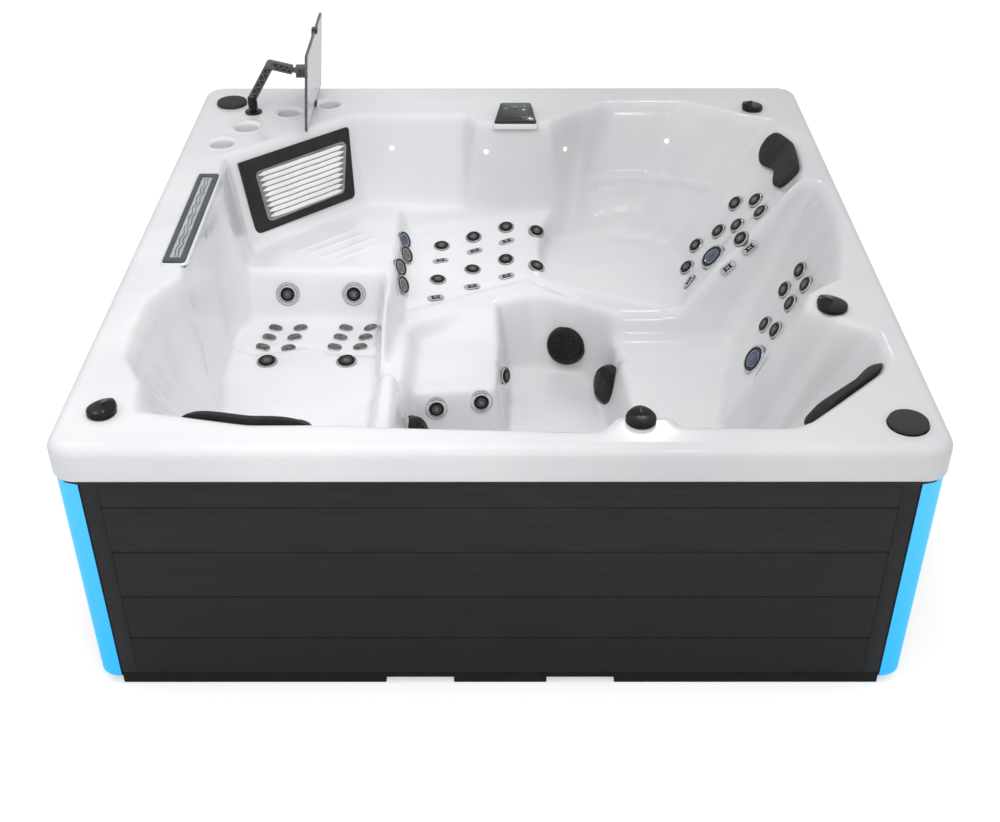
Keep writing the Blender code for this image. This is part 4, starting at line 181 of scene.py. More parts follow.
# noise drives the colour, the roughness and a fine bump, so that no surface is one flat colour
def makeFinish(name, colour, dark, pale, scale, roughness, roughRange=None, stretch=(1, 1, 1), detail=4.0,
               grain=None, band=(0.35, 0.65), **shine):
    made = newMaterial(name, colour, roughness, shine)
    shader = shaderOf(made)
    place = addNode(made, "ShaderNodeTexCoord")
    turn = addNode(made, "ShaderNodeMapping", Scale=stretch)
    wire(made, place.outputs["Object"], turn.inputs["Vector"])
    noise = addNode(made, "ShaderNodeTexNoise", Scale=scale, Detail=detail)
    wire(made, turn.outputs["Vector"], noise.inputs["Vector"])
    ramp = addRamp(made, (band[0], dark), (band[1], pale))
    wire(made, noise.outputs["Fac"], ramp.inputs["Fac"])
    wire(made, ramp.outputs["Color"], shader.inputs["Base Color"])
    if roughRange:
        spread = addNode(made, "ShaderNodeMapRange")
        spread.inputs["To Min"].default_value, spread.inputs["To Max"].default_value = roughRange
        wire(made, noise.outputs["Fac"], spread.inputs["Value"])
        wire(made, spread.outputs["Result"], shader.inputs["Roughness"])
    if grain:
        fine = addNode(made, "ShaderNodeTexNoise", Scale=grain[0], Detail=3.0)
        wire(made, turn.outputs["Vector"], fine.inputs["Vector"])
        bump = addNode(made, "ShaderNodeBump", Strength=grain[1], Distance=grain[2])
        wire(made, fine.outputs["Fac"], bump.inputs["Height"])
        wire(made, bump.outputs["Normal"], shader.inputs["Normal"])
    return made


def addEmission(material, colour, strength):
    shaderOf(material).inputs["Emission Color"].default_value = rgba(colour)
    shaderOf(material).inputs["Emission Strength"].default_value = strength
    return material


def alongAxis(material, axis):
    place = addNode(material, "ShaderNodeTexCoord")
    split = addNode(material, "ShaderNodeSeparateXYZ")
    wire(material, place.outputs["Object"], split.inputs["Vector"])
    return split.outputs[axis]


# a number that goes from start to end as its source does from low to high
def fade(material, source, low, high, start, end, interpolation="LINEAR"):
    span = addNode(material, "ShaderNodeMapRange", interpolation_type=interpolation)
    for socket, value in (("From Min", low), ("From Max", high), ("To Min", start), ("To Max", end)):
        span.inputs[socket].default_value = value
    wire(material, source, span.inputs["Value"])
    return span.outputs[0]


def shadeAlong(material, shade, interpolation="LINEAR"):
    source = alongAxis(material, shade["axis"])
    return fade(material, source, shade["from"], shade["to"], shade["start"], shade["end"], interpolation)


# scales a finish's colour by the product of some numbers
def scaleColour(material, numbers):
    shader = shaderOf(material)
    source = shader.inputs["Base Color"].links[0].from_socket
    product = numbers[0]
    for number in numbers[1:]:
        both = addNode(material, "ShaderNodeMath", operation="MULTIPLY")
        wire(material, product, both.inputs[0])
        wire(material, number, both.inputs[1])
        product = both.outputs[0]
    scale = addNode(material, "ShaderNodeVectorMath", operation="SCALE")
    wire(material, source, scale.inputs[0])
    wire(material, product, scale.inputs["Scale"])
    wire(material, scale.outputs[0], shader.inputs["Base Color"])


def makeGlow():
    made = addEmission(newMaterial("diffuser", glow["base"], 0.35, {"specular": 0.08}), (1.0, 1.0, 1.0), 1.0)
    ramp = addRamp(made, glow["low"], glow["high"])
    wire(made, alongAxis(made, "Z"), ramp.inputs["Fac"])
    wire(made, ramp.outputs["Color"], shaderOf(made).inputs["Emission Color"])
    return made


def makeLooks():
    made = {}
    for key, (*plain, extra) in finishes.items():
        made[key] = makeFinish(*plain, **extra)
    made["diffuser"] = makeGlow()
    # painted shade on the boards, darker low down
    scaleColour(made["board"], [shadeAlong(made["board"], boardPaintedShade)])
    # painted light and shade on the shell, by place and by steepness
    acrylic = made["acrylic"]
    paintedShades = [shadeAlong(acrylic, shade, "SMOOTHSTEP") for shade in shellPaintedLight]
    steep = addNode(acrylic, "ShaderNodeAttribute", attribute_name="steep")
    paintedShades.append(fade(acrylic, steep.outputs["Fac"], 0.0, 1.0, 1.0, steepPaintedShade))
    scaleColour(acrylic, paintedShades)
    return made


looks = makeLooks()
print("materials made,", len(looks))


# mesh helpers
def meshPiece(name, points, faces, materials, indices=None, sharp=40.0):
    mesh = bpy.data.meshes.new(name)
    mesh.from_pydata([tuple(p) for p in points], [], faces)
    for material in materials:
        mesh.materials.append(material)
    if indices is not None:
        mesh.polygons.foreach_set("material_index", indices)
    mesh.shade_smooth()
    mesh.set_sharp_from_angle(angle=math.radians(sharp))
    piece = bpy.data.objects.new(name, mesh)
    bpy.context.scene.collection.objects.link(piece)
    return piece


# collects the placed shapes of one piece, each with its material
class Builder:
    def __init__(self):
        self.points, self.faces, self.indices, self.materials = [], [], [], []

    def add(self, shape, look, place=None):
        points, faces = shape
        material = looks[look]
        if material not in self.materials:
            self.materials.append(material)
        start = len(self.points)
        if place is not None:
            points = [place @ Vector(p) for p in points]
        self.points += [tuple(p) for p in points]
        self.faces += [tuple(start + i for i in face) for face in faces]
        self.indices += [self.materials.index(material)] * len(faces)

    def finish(self, name, sharp=40.0):
        return meshPiece(name, self.points, self.faces, self.materials, self.indices, sharp)


# rings of (radius, height), from the outer foot to the middle of the top
def turnedShape(profile, sides):
    points = []
    for radius, level in profile:
        for i in range(sides):
            angle = math.tau * i / sides
            points.append((radius * math.cos(angle), radius * math.sin(angle), level))
    return points, bandFaces(len(profile),
                             sides) + [tuple(range((len(profile) - 1) * sides, len(profile) * sides))]


def bandFaces(rings, count):
    faces = []
    for k in range(rings - 1):
        for i in range(count):
            j = (i + 1) % count
            faces.append((k * count + i, k * count + j, (k + 1) * count + j, (k + 1) * count + i))
    return faces


def loftShape(loops, capFoot=True, capTop=True):
    count = len(loops[0])
    points = [tuple(p) for loop in loops for p in loop]
    faces = [tuple(reversed(range(count)))] if capFoot else []
    faces += bandFaces(len(loops), count)
    if capTop:
        faces.append(tuple(range(len(points) - count, len(points))))
    return points, faces


def roundedLoop(halfX, halfY, radius, level, steps=4):
    loop = []
    for turn, (sx, sy) in enumerate(((1, 1), (-1, 1), (-1, -1), (1, -1))):
        for i in range(steps + 1):
            angle = math.pi / 2 * (turn + i / steps)
            loop.append((sx * (halfX - radius) + radius * math.cos(angle),
                         sy * (halfY - radius) + radius * math.sin(angle), level))
    return loop


# a stack of rounded rectangles, each drawn in by its inset at its level
def insetStack(halfX, halfY, radius, steps, segments):
    return [roundedLoop(halfX - inset, halfY - inset, radius, level, segments) for inset, level in steps]


# a place from three axes, each a column, and where they start
def axesAt(along, across, out, spot):
    place = Matrix((along, across, out)).transposed().to_4x4()
    place.translation = spot
    return place


def settle(piece, body, slot, *nodes):
    if nodes:
        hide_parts(*nodes)
    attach(piece, body)
    return piece


# a copy of a CAD node with its edges softened, which stands for it
def refined(node, body, look, width=0.0015, segments=2, angle=30.0):
    piece = bpy.data.objects.new(node + "Soft", frame["nodes"][node].data.copy())
    bpy.context.scene.collection.objects.link(piece)
    grid = bmesh.new()
    grid.from_mesh(piece.data)
    bmesh.ops.remove_doubles(grid, verts=grid.verts, dist=1e-5)
    bmesh.ops.dissolve_limit(grid, angle_limit=math.radians(1.0), verts=grid.verts, edges=grid.edges)
    grid.to_mesh(piece.data)
    grid.free()
    piece.data.materials.clear()
    piece.data.materials.append(looks[look])
    soften = piece.modifiers.new("soften", "BEVEL")
    soften.width = width
    soften.segments = segments
    soften.limit_method = "ANGLE"
    soften.angle_limit = math.radians(angle)
    soften.harden_normals = False
    graph = bpy.context.evaluated_depsgraph_get()
    mesh = bpy.data.meshes.new_from_object(piece.evaluated_get(graph))
    piece.modifiers.clear()
    piece.data = mesh
    mesh.shade_smooth()
    mesh.set_sharp_from_angle(angle=math.radians(50))
    return settle(piece, body, slotOf[node], node)


# camera, light and studio
studio = {"eye": (0.006, -3.685, 2.729), "focal": 1339.8, "photoWidth": 1000, "sensor": 36.0,
          "ahead": (-0.00170868, 0.81583312, -0.57828487), "right": (0.9999984, 0.0010851, -0.0014239),
          "up": (0.000534170261, 0.57828638, 0.81583367),
          "floorReach": 14.0, "floor": 0.86, "floorGlow": 0.42, "sky": (0.97, 0.98, 1.0), "skyStrength": 0.70}
lamps = {  # place, aim, size, power and whether it shows in gloss
    "lampTop": ((-0.3, -0.9, 3.4), (-0.2, -0.2, 0.4), 1.8, 36.0, False),
    "lampLeft": ((-3.0, -0.6, 3.4), (0.0, 0.0, 0.4), 1.8, 8.0, False),
    "lampRight": ((3.0, -0.8, 3.2), (0.0, 0.0, 0.4), 1.8, 8.0, False),
    "lampFront": ((0.2, -4.6, 2.6), (0.0, 0.0, 0.3), 2.4, 46.0, False),
    "sparkBack": ((0.9, 2.9, 3.6), (0.0, 0.0, 0.4), 0.30, 5.0, True),
    "sparkLeft": ((-2.4, 1.2, 3.8), (0.0, 0.0, 0.4), 0.26, 4.0, True),
    "sparkFront": ((1.0, -3.6, 4.2), (0.0, 0.0, 0.4), 0.26, 4.0, True),
}


def makeCamera():
    scene = bpy.context.scene
    data = bpy.data.cameras.new("view")
    data.sensor_width = studio["sensor"]
    data.lens = studio["focal"] * studio["sensor"] / studio["photoWidth"]
    camera = bpy.data.objects.new("view", data)
    scene.collection.objects.link(camera)
    turn = Matrix((studio["right"], studio["up"], -Vector(studio["ahead"]))).transposed().to_4x4()
    camera.matrix_world = Matrix.Translation(studio["eye"]) @ turn
    scene.camera = camera
    scene.view_settings.view_transform = "Standard"


# the floor's own light is seen by the camera alone, so that it is white there and still takes the shadow
def makeFloor():
    mesh = bpy.data.meshes.new("studioFloor")
    reach = studio["floorReach"]
    mesh.from_pydata([(-reach, -reach, 0), (reach, -reach, 0), (reach, reach, 0), (-reach, reach, 0)],
                     [], [(0, 1, 2, 3)])
    floor = bpy.data.objects.new("studioFloor", mesh)
    bpy.context.scene.collection.objects.link(floor)
    look = addEmission(newMaterial("studioFloor", studio["floor"], 0.75, {"specular": 0.1}), 1.0, 0.0)
    path = addNode(look, "ShaderNodeLightPath")
    share = addNode(look, "ShaderNodeMath", operation="MULTIPLY")
    share.inputs[1].default_value = studio["floorGlow"]
    wire(look, path.outputs["Is Camera Ray"], share.inputs[0])
    wire(look, share.outputs[0], shaderOf(look).inputs["Emission Strength"])
    mesh.materials.append(look)


# the sky lights the object softly and is plain white where the camera sees it
def makeSky():
    world = bpy.data.worlds.new("studioSky")
    bpy.context.scene.world = world
    world.use_nodes = True
    world.node_tree.nodes.clear()
    out = addNode(world, "ShaderNodeOutputWorld")
    mix = addNode(world, "ShaderNodeMixShader")
    soft = addNode(world, "ShaderNodeBackground", Color=rgba(studio["sky"]), Strength=studio["skyStrength"])
    plain = addNode(world, "ShaderNodeBackground", Color=rgba(1.0), Strength=1.0)
    rays = addNode(world, "ShaderNodeLightPath")
    either = addNode(world, "ShaderNodeMath", operation="MAXIMUM")
    wire(world, rays.outputs["Is Camera Ray"], either.inputs[0])
    wire(world, rays.outputs["Is Transmission Ray"], either.inputs[1])
    wire(world, either.outputs[0], mix.inputs["Fac"])
    wire(world, soft.outputs[0], mix.inputs[1])
    wire(world, plain.outputs[0], mix.inputs[2])
    wire(world, mix.outputs[0], out.inputs["Surface"])


def makeLamps():
    for name, (place, aim, size, power, gleams) in lamps.items():
        data = bpy.data.lights.new(name, "AREA")
        data.shape = "DISK"
        data.size = size
        data.energy = power
        lamp = bpy.data.objects.new(name, data)
        lamp.location = place
        lamp.rotation_euler = (Vector(aim) - Vector(place)).to_track_quat("-Z", "Y").to_euler()
        lamp.visible_glossy = gleams
        lamp.visible_camera = False
        bpy.context.scene.collection.objects.link(lamp)


makeCamera()
makeFloor()
makeSky()
makeLamps()
print("studio made")


# the acrylic shell
rim = {"width": 2.20, "depth": 2.28, "height": 0.81, "edge": 0.03, "corner": 0.07, "lip": 0.097,
       "wall": 0.012}
shellSizes = {"cell": 0.003, "quickCell": 0.005, "soften": 0.0085, "columns": 300, "rows": 312, "relax": 140,
              "polish": 5, "jetHole": 0.017, "coverHole": 0.036, "steepFrom": 0.45, "steepOver": 0.45}
cups = ((-0.9614, 0.6224), (-0.8965, 0.7604), (-0.7645, 0.8926), (-0.6281, 0.9667))

# openings in the rim, cut into the shell's skin here and fitted further down
speakerSizes = {"opening": 0.047, "caps": (0.0545, 0.0500), "sides": 64}
cupSizes = {"flat": 0.062, "hole": 0.0445, "drop": 0.066, "sides": 56}
rimHoles = (  # plan places on the rim that are filled flat: x, y, radius
    (-0.9845, -0.985, 0.02), (0.3454, -1.0203, 0.02), (0.9218, -0.4845, 0.02), (0.913, 0.9166, 0.02),
    (-0.8921, 0.8903, 0.02), (-0.9823, 0.9679, 0.055), (0.9966, -1.034, 0.055),
)
speakerSpots = ((-0.9823, 0.96786), (0.9966, -1.03398))
rimBoxes = ((-0.03, 0.14, 0.77, 0.92), (-1.0, -0.915, -0.245, 0.37))
filterWall = {"corner": (-0.9251, 0.51528, 0.81), "along": (0.75446, 0.65635, 0.0),
              "down": (0.1963, -0.2257, -0.9542), "out": (0.6263, -0.71992, 0.29911),
              "alongSpan": (0.02, 0.495), "downSpan": (0.026, 0.29)}


# the calf bays' pills stand in two rows of three, each a little further left and nearer
def pillSpots(side):
    return tuple((x + side - 0.013 * k, 0.157 - 0.059 * k, 0.345) for x in (-0.673, -0.436) for k in range(3))


jets = {  # each bank's jets by kind, in the places that they are seated from
    "calf": {
        "big": ((-0.721, 0.251, 0.426), (-0.497, 0.252, 0.426)),
        "ribIn": pillSpots(0.0), "ribOut": pillSpots(-0.084),
        "wide": ((-0.757, -0.047, 0.345), (-0.499, -0.047, 0.345)),
    },
    "divider": {
        "lens": ((-0.351, 0.570, 0.458),),
        "port": ((-0.346, 0.502, 0.434), (-0.351, 0.365, 0.463), (-0.344, 0.299, 0.430)),
    },
    "legs": {
        "round": ((-0.213, 0.614, 0.413), (-0.098, 0.649, 0.431), (0.020, 0.685, 0.452),
                  (0.130, 0.655, 0.452), (0.130, 0.490, 0.404), (0.019, 0.527, 0.405),
                  (-0.219, 0.408, 0.391), (-0.099, 0.478, 0.393)),
        "legSlot": ((0.022, 0.615, 0.431), (0.021, 0.441, 0.386), (-0.099, 0.376, 0.382),
                    (-0.223, 0.303, 0.381), (-0.093, 0.579, 0.411), (-0.214, 0.523, 0.403)),
    },
    "back": {
        "backSlot": ((0.830, 0.271, 0.591), (0.762, 0.256, 0.523)), "lowSlot": ((0.656, 0.349, 0.414),),
        "round": ((0.808, 0.303, 0.604), (0.876, 0.368, 0.670), (0.881, 0.494, 0.651), (0.818, 0.442, 0.581),
                  (0.833, 0.589, 0.590), (0.768, 0.512, 0.522), (0.701, 0.553, 0.444), (0.662, 0.467, 0.403)),
        "large": ((0.732, 0.360, 0.501),),
    },
    "right": {
        "round": ((0.956, 0.040, 0.631), (0.945, -0.097, 0.658), (0.907, -0.092, 0.587),
                  (0.919, 0.055, 0.552), (0.858, 0.000, 0.454), (0.858, -0.152, 0.527)),
        "large": ((0.802, -0.173, 0.432),),
    },
    "foot": {"fixed": ((-0.205, -0.176, 0.249), (-0.061, -0.160, 0.263)), "far": ((0.007, 0.023, 0.243),)},
}
coverSpots = ((0.231, 0.262, 0.214), (0.372, 0.050, 0.186), (-0.275, -0.297, 0.226))


# heights of the shell's upper face on a plan grid
def castGrid(xs, ys):
    mesh = frame["nodes"]["tub_shell"].data
    tree = BVHTree.FromPolygons([v.co for v in mesh.vertices], [tuple(p.vertices) for p in mesh.polygons])
    down = Vector((0, 0, -1))
    heights = np.full((len(xs), len(ys)), np.nan)
    for i, x in enumerate(xs):
        for j, y in enumerate(ys):
            point = tree.ray_cast(Vector((x, y, 1.2)), down)[0]
            if point is not None:
                heights[i, j] = point.z
    return heights


# closes the fittings' holes, so that the skin runs smoothly under them
def fillHoles(heights, gridX, gridY):
    holes = np.isnan(heights)
    seats = [spot for kinds in jets.values() for spots in kinds.values() for spot in spots]
    reaches = [(spot, shellSizes["jetHole"]) for spot in seats]
    reaches += [(spot, shellSizes["coverHole"]) for spot in coverSpots]
    for spot, reach in reaches:
        holes |= (gridX - spot[0]) ** 2 + (gridY - spot[1]) ** 2 < reach ** 2
    # the slanted filter wall is a plane, so its seat and throat are filled from it
    corner, out, along, down = (np.array(filterWall[key]) for key in ("corner", "out", "along", "down"))
    plane = corner[2] - (out[0] * (gridX - corner[0]) + out[1] * (gridY - corner[1])) / out[2]
    offsets = [gridX - corner[0], gridY - corner[1], plane - corner[2]]
    onWall = np.ones_like(holes)
    for direction, (start, end) in ((along, filterWall["alongSpan"]), (down, filterWall["downSpan"])):
        travel = sum(offset * part for offset, part in zip(offsets, direction))
        onWall &= (travel > start) & (travel < end)
    heights[onWall] = plane[onWall]
    onRim = np.zeros_like(holes)
    for x, y, reach in rimHoles:
        onRim |= (gridX - x) ** 2 + (gridY - y) ** 2 < reach ** 2
    for left, right, front, back in rimBoxes:
        onRim |= (gridX > left) & (gridX < right) & (gridY > front) & (gridY < back)
    heights[onRim] = rim["height"]
    holes &= ~(onWall | onRim)
    guess, share = np.where(holes, 0.0, heights), (~holes).astype(float)
    for _ in range(8):  # a wide blur gives each hole a first guess
        guess, share = blur(guess, 3), blur(share, 3)
    heights = np.where(holes, guess / np.maximum(share, 1e-6), heights)
    for _ in range(300):  # and then it is drawn smooth
        mean = sum(np.roll(heights, step, axis) for step, axis in ((1, 0), (-1, 0), (1, 1), (-1, 1))) / 4
        heights = np.where(holes, mean, heights)
    return heights


def blur(values, sigma):
    reach = int(math.ceil(sigma * 3))
    kernel = np.exp(-0.5 * (np.arange(-reach, reach + 1) / sigma) ** 2)
    kernel /= kernel.sum()
    for axis in (0, 1):
        padded = np.pad(values, [(reach, reach) if k == axis else (0, 0) for k in (0, 1)], mode="edge")
        values = sum(w * np.take(padded, range(s, s + values.shape[axis]), axis=axis) for s,
                     w in enumerate(kernel))
    return values


# a field on the plan grid, read between its points
def sample(field, xs, ys, x, y):
    u = np.clip((x - xs[0]) / (xs[1] - xs[0]), 0, len(xs) - 1.001)
    v = np.clip((y - ys[0]) / (ys[1] - ys[0]), 0, len(ys) - 1.001)
    i, j = u.astype(int), v.astype(int)
    s, t = u - i, v - j
    return (field[i, j] * (1 - s) * (1 - t) + field[i + 1, j] * s * (1 - t)
            + field[i, j + 1] * (1 - s) * t + field[i + 1, j + 1] * s * t)


# draws the plan grid's corners in to a rounded rectangle
def roundedEdge(x, y, halfX, halfY, radius):
    cornerX, cornerY = halfX - radius, halfY - radius
    overX, overY = np.maximum(np.abs(x) - cornerX, 0), np.maximum(np.abs(y) - cornerY, 0)
    square = np.maximum(overX, overY)
    reach = np.hypot(overX, overY)
    scale = np.where(reach > 1e-9, square / np.maximum(reach, 1e-9), 1.0)
    return (np.sign(x) * (np.minimum(np.abs(x), cornerX) + overX * scale),
            np.sign(y) * (np.minimum(np.abs(y), cornerY) + overY * scale))


# moves the plan points so that cells crowd onto the steep walls
def relax(x, y, z):
    steps = [np.sqrt(sum(np.diff(field, axis=axis) ** 2 for field in (x, y, z))) for axis in (0, 1)]
    weightX, weightY = (step / step.mean() + 0.4 for step in steps)
    west, east = weightX[:-1, 1:-1], weightX[1:, 1:-1]
    south, north = weightY[1:-1, :-1], weightY[1:-1, 1:]
    total = west + east + south + north
    for field in (x, y):
        inner = (west * field[:-2, 1:-1] + east * field[2:, 1:-1]
                 + south * field[1:-1, :-2] + north * field[1:-1, 2:]) / total
        field[1:-1, 1:-1] = field[1:-1, 1:-1] * 0.4 + inner * 0.6


def makeShell():
    halfX, halfY = rim["width"] / 2 - rim["edge"], rim["depth"] / 2 - rim["edge"]
    cell = shellSizes["cell"]
    xs = np.arange(-halfX - cell, halfX + cell * 2, cell)
    ys = np.arange(-halfY - cell, halfY + cell * 2, cell)
    gridX, gridY = np.meshgrid(xs, ys, indexing="ij")
    heights = fillHoles(castGrid(xs, ys), gridX, gridY)
    smooth = blur(heights, shellSizes["soften"] / cell)
    for x, y in cups:  # the cups' wells are pieces of their own, let into wider wells
        inside = np.hypot(gridX - x, gridY - y)
        smooth = np.where(inside < cupSizes["flat"], rim["height"], smooth)
        smooth = np.where(inside < cupSizes["hole"], rim["height"] - cupSizes["drop"], smooth)
    columns, rows = shellSizes["columns"], shellSizes["rows"]
    x = np.linspace(-halfX, halfX, columns)[:, None] * np.ones(rows)[None, :]
    y = np.linspace(-halfY, halfY, rows)[None, :] * np.ones(columns)[:, None]
    x, y = roundedEdge(x, y, halfX, halfY, rim["corner"] - rim["edge"])
    for _ in range(shellSizes["relax"]):
        relax(x, y, sample(smooth, xs, ys, x, y))
    z = sample(smooth, xs, ys, x, y)
    z[[0, -1], :] = z[:, [0, -1]] = rim["height"]
    points = np.stack([x, y, z], axis=-1)
    for _ in range(shellSizes["polish"]):
        mean = (points[:-2, 1:-1] + points[2:, 1:-1] + points[1:-1, :-2] + points[1:-1, 2:]) / 4
        share = np.where(np.abs(points[1:-1, 1:-1, 2:] - rim["height"]) < 1e-4, 0.0, 0.5)
        points[1:-1, 1:-1] += (mean - points[1:-1, 1:-1]) * share
    index = np.arange(columns * rows).reshape(columns, rows)
    quads = np.stack([index[:-1, :-1], index[1:, :-1], index[1:, 1:], index[:-1, 1:]], axis=-1).reshape(-1, 4)
    return points.reshape(-1, 3), quads, index


def vertexNormals(points, quads):
    a, b, c, d = (points[quads[:, k]] for k in range(4))
    faceNormals = np.cross(c - a, d - b)
    normals = np.zeros_like(points)
    for k in range(4):
        np.add.at(normals, quads[:, k], faceNormals)
    return normals / np.maximum(np.linalg.norm(normals, axis=1, keepdims=True), 1e-12)


# raised or sunk lines drawn on the shell: points, half width and height
shellLines = (
    (((-0.695, 0.425, 0.50), (-0.528, 0.573, 0.50)), 0.010, 0.0028),
    (((-0.648, 0.411, 0.50), (-0.480, 0.550, 0.50)), 0.010, 0.0028),
    (((-0.610, 0.375, 0.50), (-0.445, 0.513, 0.50)), 0.010, 0.0028),
    (((-0.566, 0.354, 0.50), (-0.447, 0.454, 0.50)), 0.010, 0.0028),
    (((0.330, 0.838, 0.555), (0.414, 0.850, 0.566), (0.500, 0.851, 0.567), (0.588, 0.833, 0.572),
      (0.672, 0.802, 0.571), (0.756, 0.750, 0.577)), 0.018, 0.0075),
    (((0.382, 0.826, 0.523), (0.454, 0.833, 0.534), (0.565, 0.823, 0.543)), 0.016, 0.0055),
    (((0.355, 0.781, 0.440), (0.423, 0.790, 0.455), (0.507, 0.790, 0.463)), 0.016, 0.0045),
    (((0.459, 0.742, 0.380), (0.535, 0.739, 0.382), (0.626, 0.719, 0.436)), 0.014, 0.0030),
    (((0.916, 0.303, 0.720), (0.954, 0.312, 0.760), (0.994, 0.321, 0.802)), 0.012, 0.0030),
    (((0.997, 0.280, 0.724), (1.047, 0.248, 0.806)), 0.012, 0.0030),
    (((-0.887, 0.056, 0.345), (-0.804, 0.007, 0.345), (-0.726, 0.029, 0.345), (-0.648, 0.056, 0.345),
      (-0.556, 0.014, 0.345), (-0.486, 0.005, 0.345), (-0.412, 0.000, 0.345),
      (-0.363, 0.022, 0.375)), 0.024, -0.006),
    (((-0.904, 0.085, 0.345), (-0.894, 0.139, 0.369), (-0.862, 0.204, 0.370)), 0.012, 0.003),
    (((-0.318, 0.237, 0.379), (-0.194, 0.297, 0.379), (-0.113, 0.343, 0.379), (-0.030, 0.390, 0.380),
      (0.065, 0.427, 0.385), (0.104, 0.425, 0.387), (0.173, 0.385, 0.375),
      (0.260, 0.303, 0.375)), 0.024, -0.006),
)


def drawLines(points, normals):
    for line, half, height in shellLines:
        nearest = np.full(len(points), 1e9)
        for start, end in zip(line, line[1:]):
            start, end = np.array(start), np.array(end)
            along = end - start
            share = np.clip((points - start) @ along / (along @ along), 0, 1)
            gap = np.linalg.norm(points - start - share[:, None] * along, axis=1)
            nearest = np.minimum(nearest, gap)
        rise = np.where(nearest < half, 0.5 + 0.5 * np.cos(np.pi * np.minimum(nearest / half, 1)), 0) * height
        points = points + normals * rise[:, None]
    return points


shellPoints, shellQuads, shellIndex = makeShell()
shellNormals = vertexNormals(shellPoints, shellQuads)
shellPoints = drawLines(shellPoints, shellNormals)


# adds the rounded edge and the lip, and puts the shell's piece together
def finishShell():
    points = [tuple(p) for p in shellPoints]
    middles = shellPoints[shellQuads].mean(axis=1)
    gone = np.zeros(len(shellQuads), bool)
    for x, y in speakerSpots:  # the speakers rise out of wells of their own
        gone |= np.hypot(middles[:, 0] - x, middles[:, 1] - y) < speakerSizes["opening"]
    faces = [tuple(q) for q in shellQuads[~gone].tolist()]
    border = (shellIndex[:, 0], shellIndex[-1, 1:], shellIndex[-2::-1, -1], shellIndex[0, -2:0:-1])
    before = [int(i) for side in border for i in side]
    base = [points[i] for i in before]
    cornerX, cornerY = rim["width"] / 2 - rim["corner"], rim["depth"] / 2 - rim["corner"]
    outward = []
    for x, y, _ in base:
        away = Vector((math.copysign(max(abs(x) - cornerX, 0), x),
                       math.copysign(max(abs(y) - cornerY, 0), y), 0))
        outward.append(away.normalized())
    edge, wall, foot = rim["edge"], rim["wall"], -rim["lip"]
    turns = [math.radians(angle) for angle in (15, 30, 45, 60, 75, 90)]
    profile = [(edge * math.sin(angle), -edge * (1 - math.cos(angle))) for angle in turns]
    profile += [(edge, -0.05), (edge, -0.07), (edge, foot + 0.004), (edge - 0.001, foot + 0.001),
                (edge - 0.004, foot), (edge - wall, foot), (edge - wall, -0.04)]
    for reach, drop in profile:
        ring = list(range(len(points), len(points) + len(base)))
        for place, away in zip(base, outward):
            points.append((place[0] + away.x * reach, place[1] + away.y * reach, rim["height"] + drop))
        for k in range(len(ring)):
            n = (k + 1) % len(ring)
            faces.append((before[k], ring[k], ring[n], before[n]))
        before = ring
    piece = meshPiece("shellSkin", points, faces, [looks["acrylic"]], None, 180)
    # the acrylic reads this steepness to paint shade on the steep walls
    steep = np.zeros(len(points), dtype=np.float32)  # how steep each point is, which the acrylic reads
    slope = (shellNormals[:, 2] - shellSizes["steepFrom"]) / shellSizes["steepOver"]
    steep[:len(shellNormals)] = 1 - np.clip(slope, 0, 1)
    piece.data.attributes.new("steep", "FLOAT", "POINT").data.foreach_set("value", steep)
    return settle(piece, "tub", "acrylic", "tub_shell")


shellPiece = finishShell()
print("shell made,", len(shellPiece.data.polygons), "faces")
shellTree = BVHTree.FromPolygons([Vector(p) for p in shellPoints], [tuple(q) for q in shellQuads.tolist()])


# the nearest place on the smooth shell, and the mean normal round it
def seatOn(spot, reach=0.02):
    point, normal, _, _ = shellTree.find_nearest(Vector(spot))
    mean = Vector(normal)
    for _, near, _, _ in shellTree.find_nearest_range(point, reach):
        if near.dot(normal) > 0.6:
            mean += near
    return point, mean.normalized()


# a place on a surface, with its own upright kept where the surface allows
def upright(spot, normal):
    out = Vector(normal).normalized()
    along = Vector((0, 0, 1)).cross(out)
    if along.length < 0.616:  # where it lies too flat for that, it is set by the X axis
        along = Vector((1, 0, 0))
    along = (along - out * along.dot(out)).normalized()
    return axesAt(along, out.cross(along), out, spot)


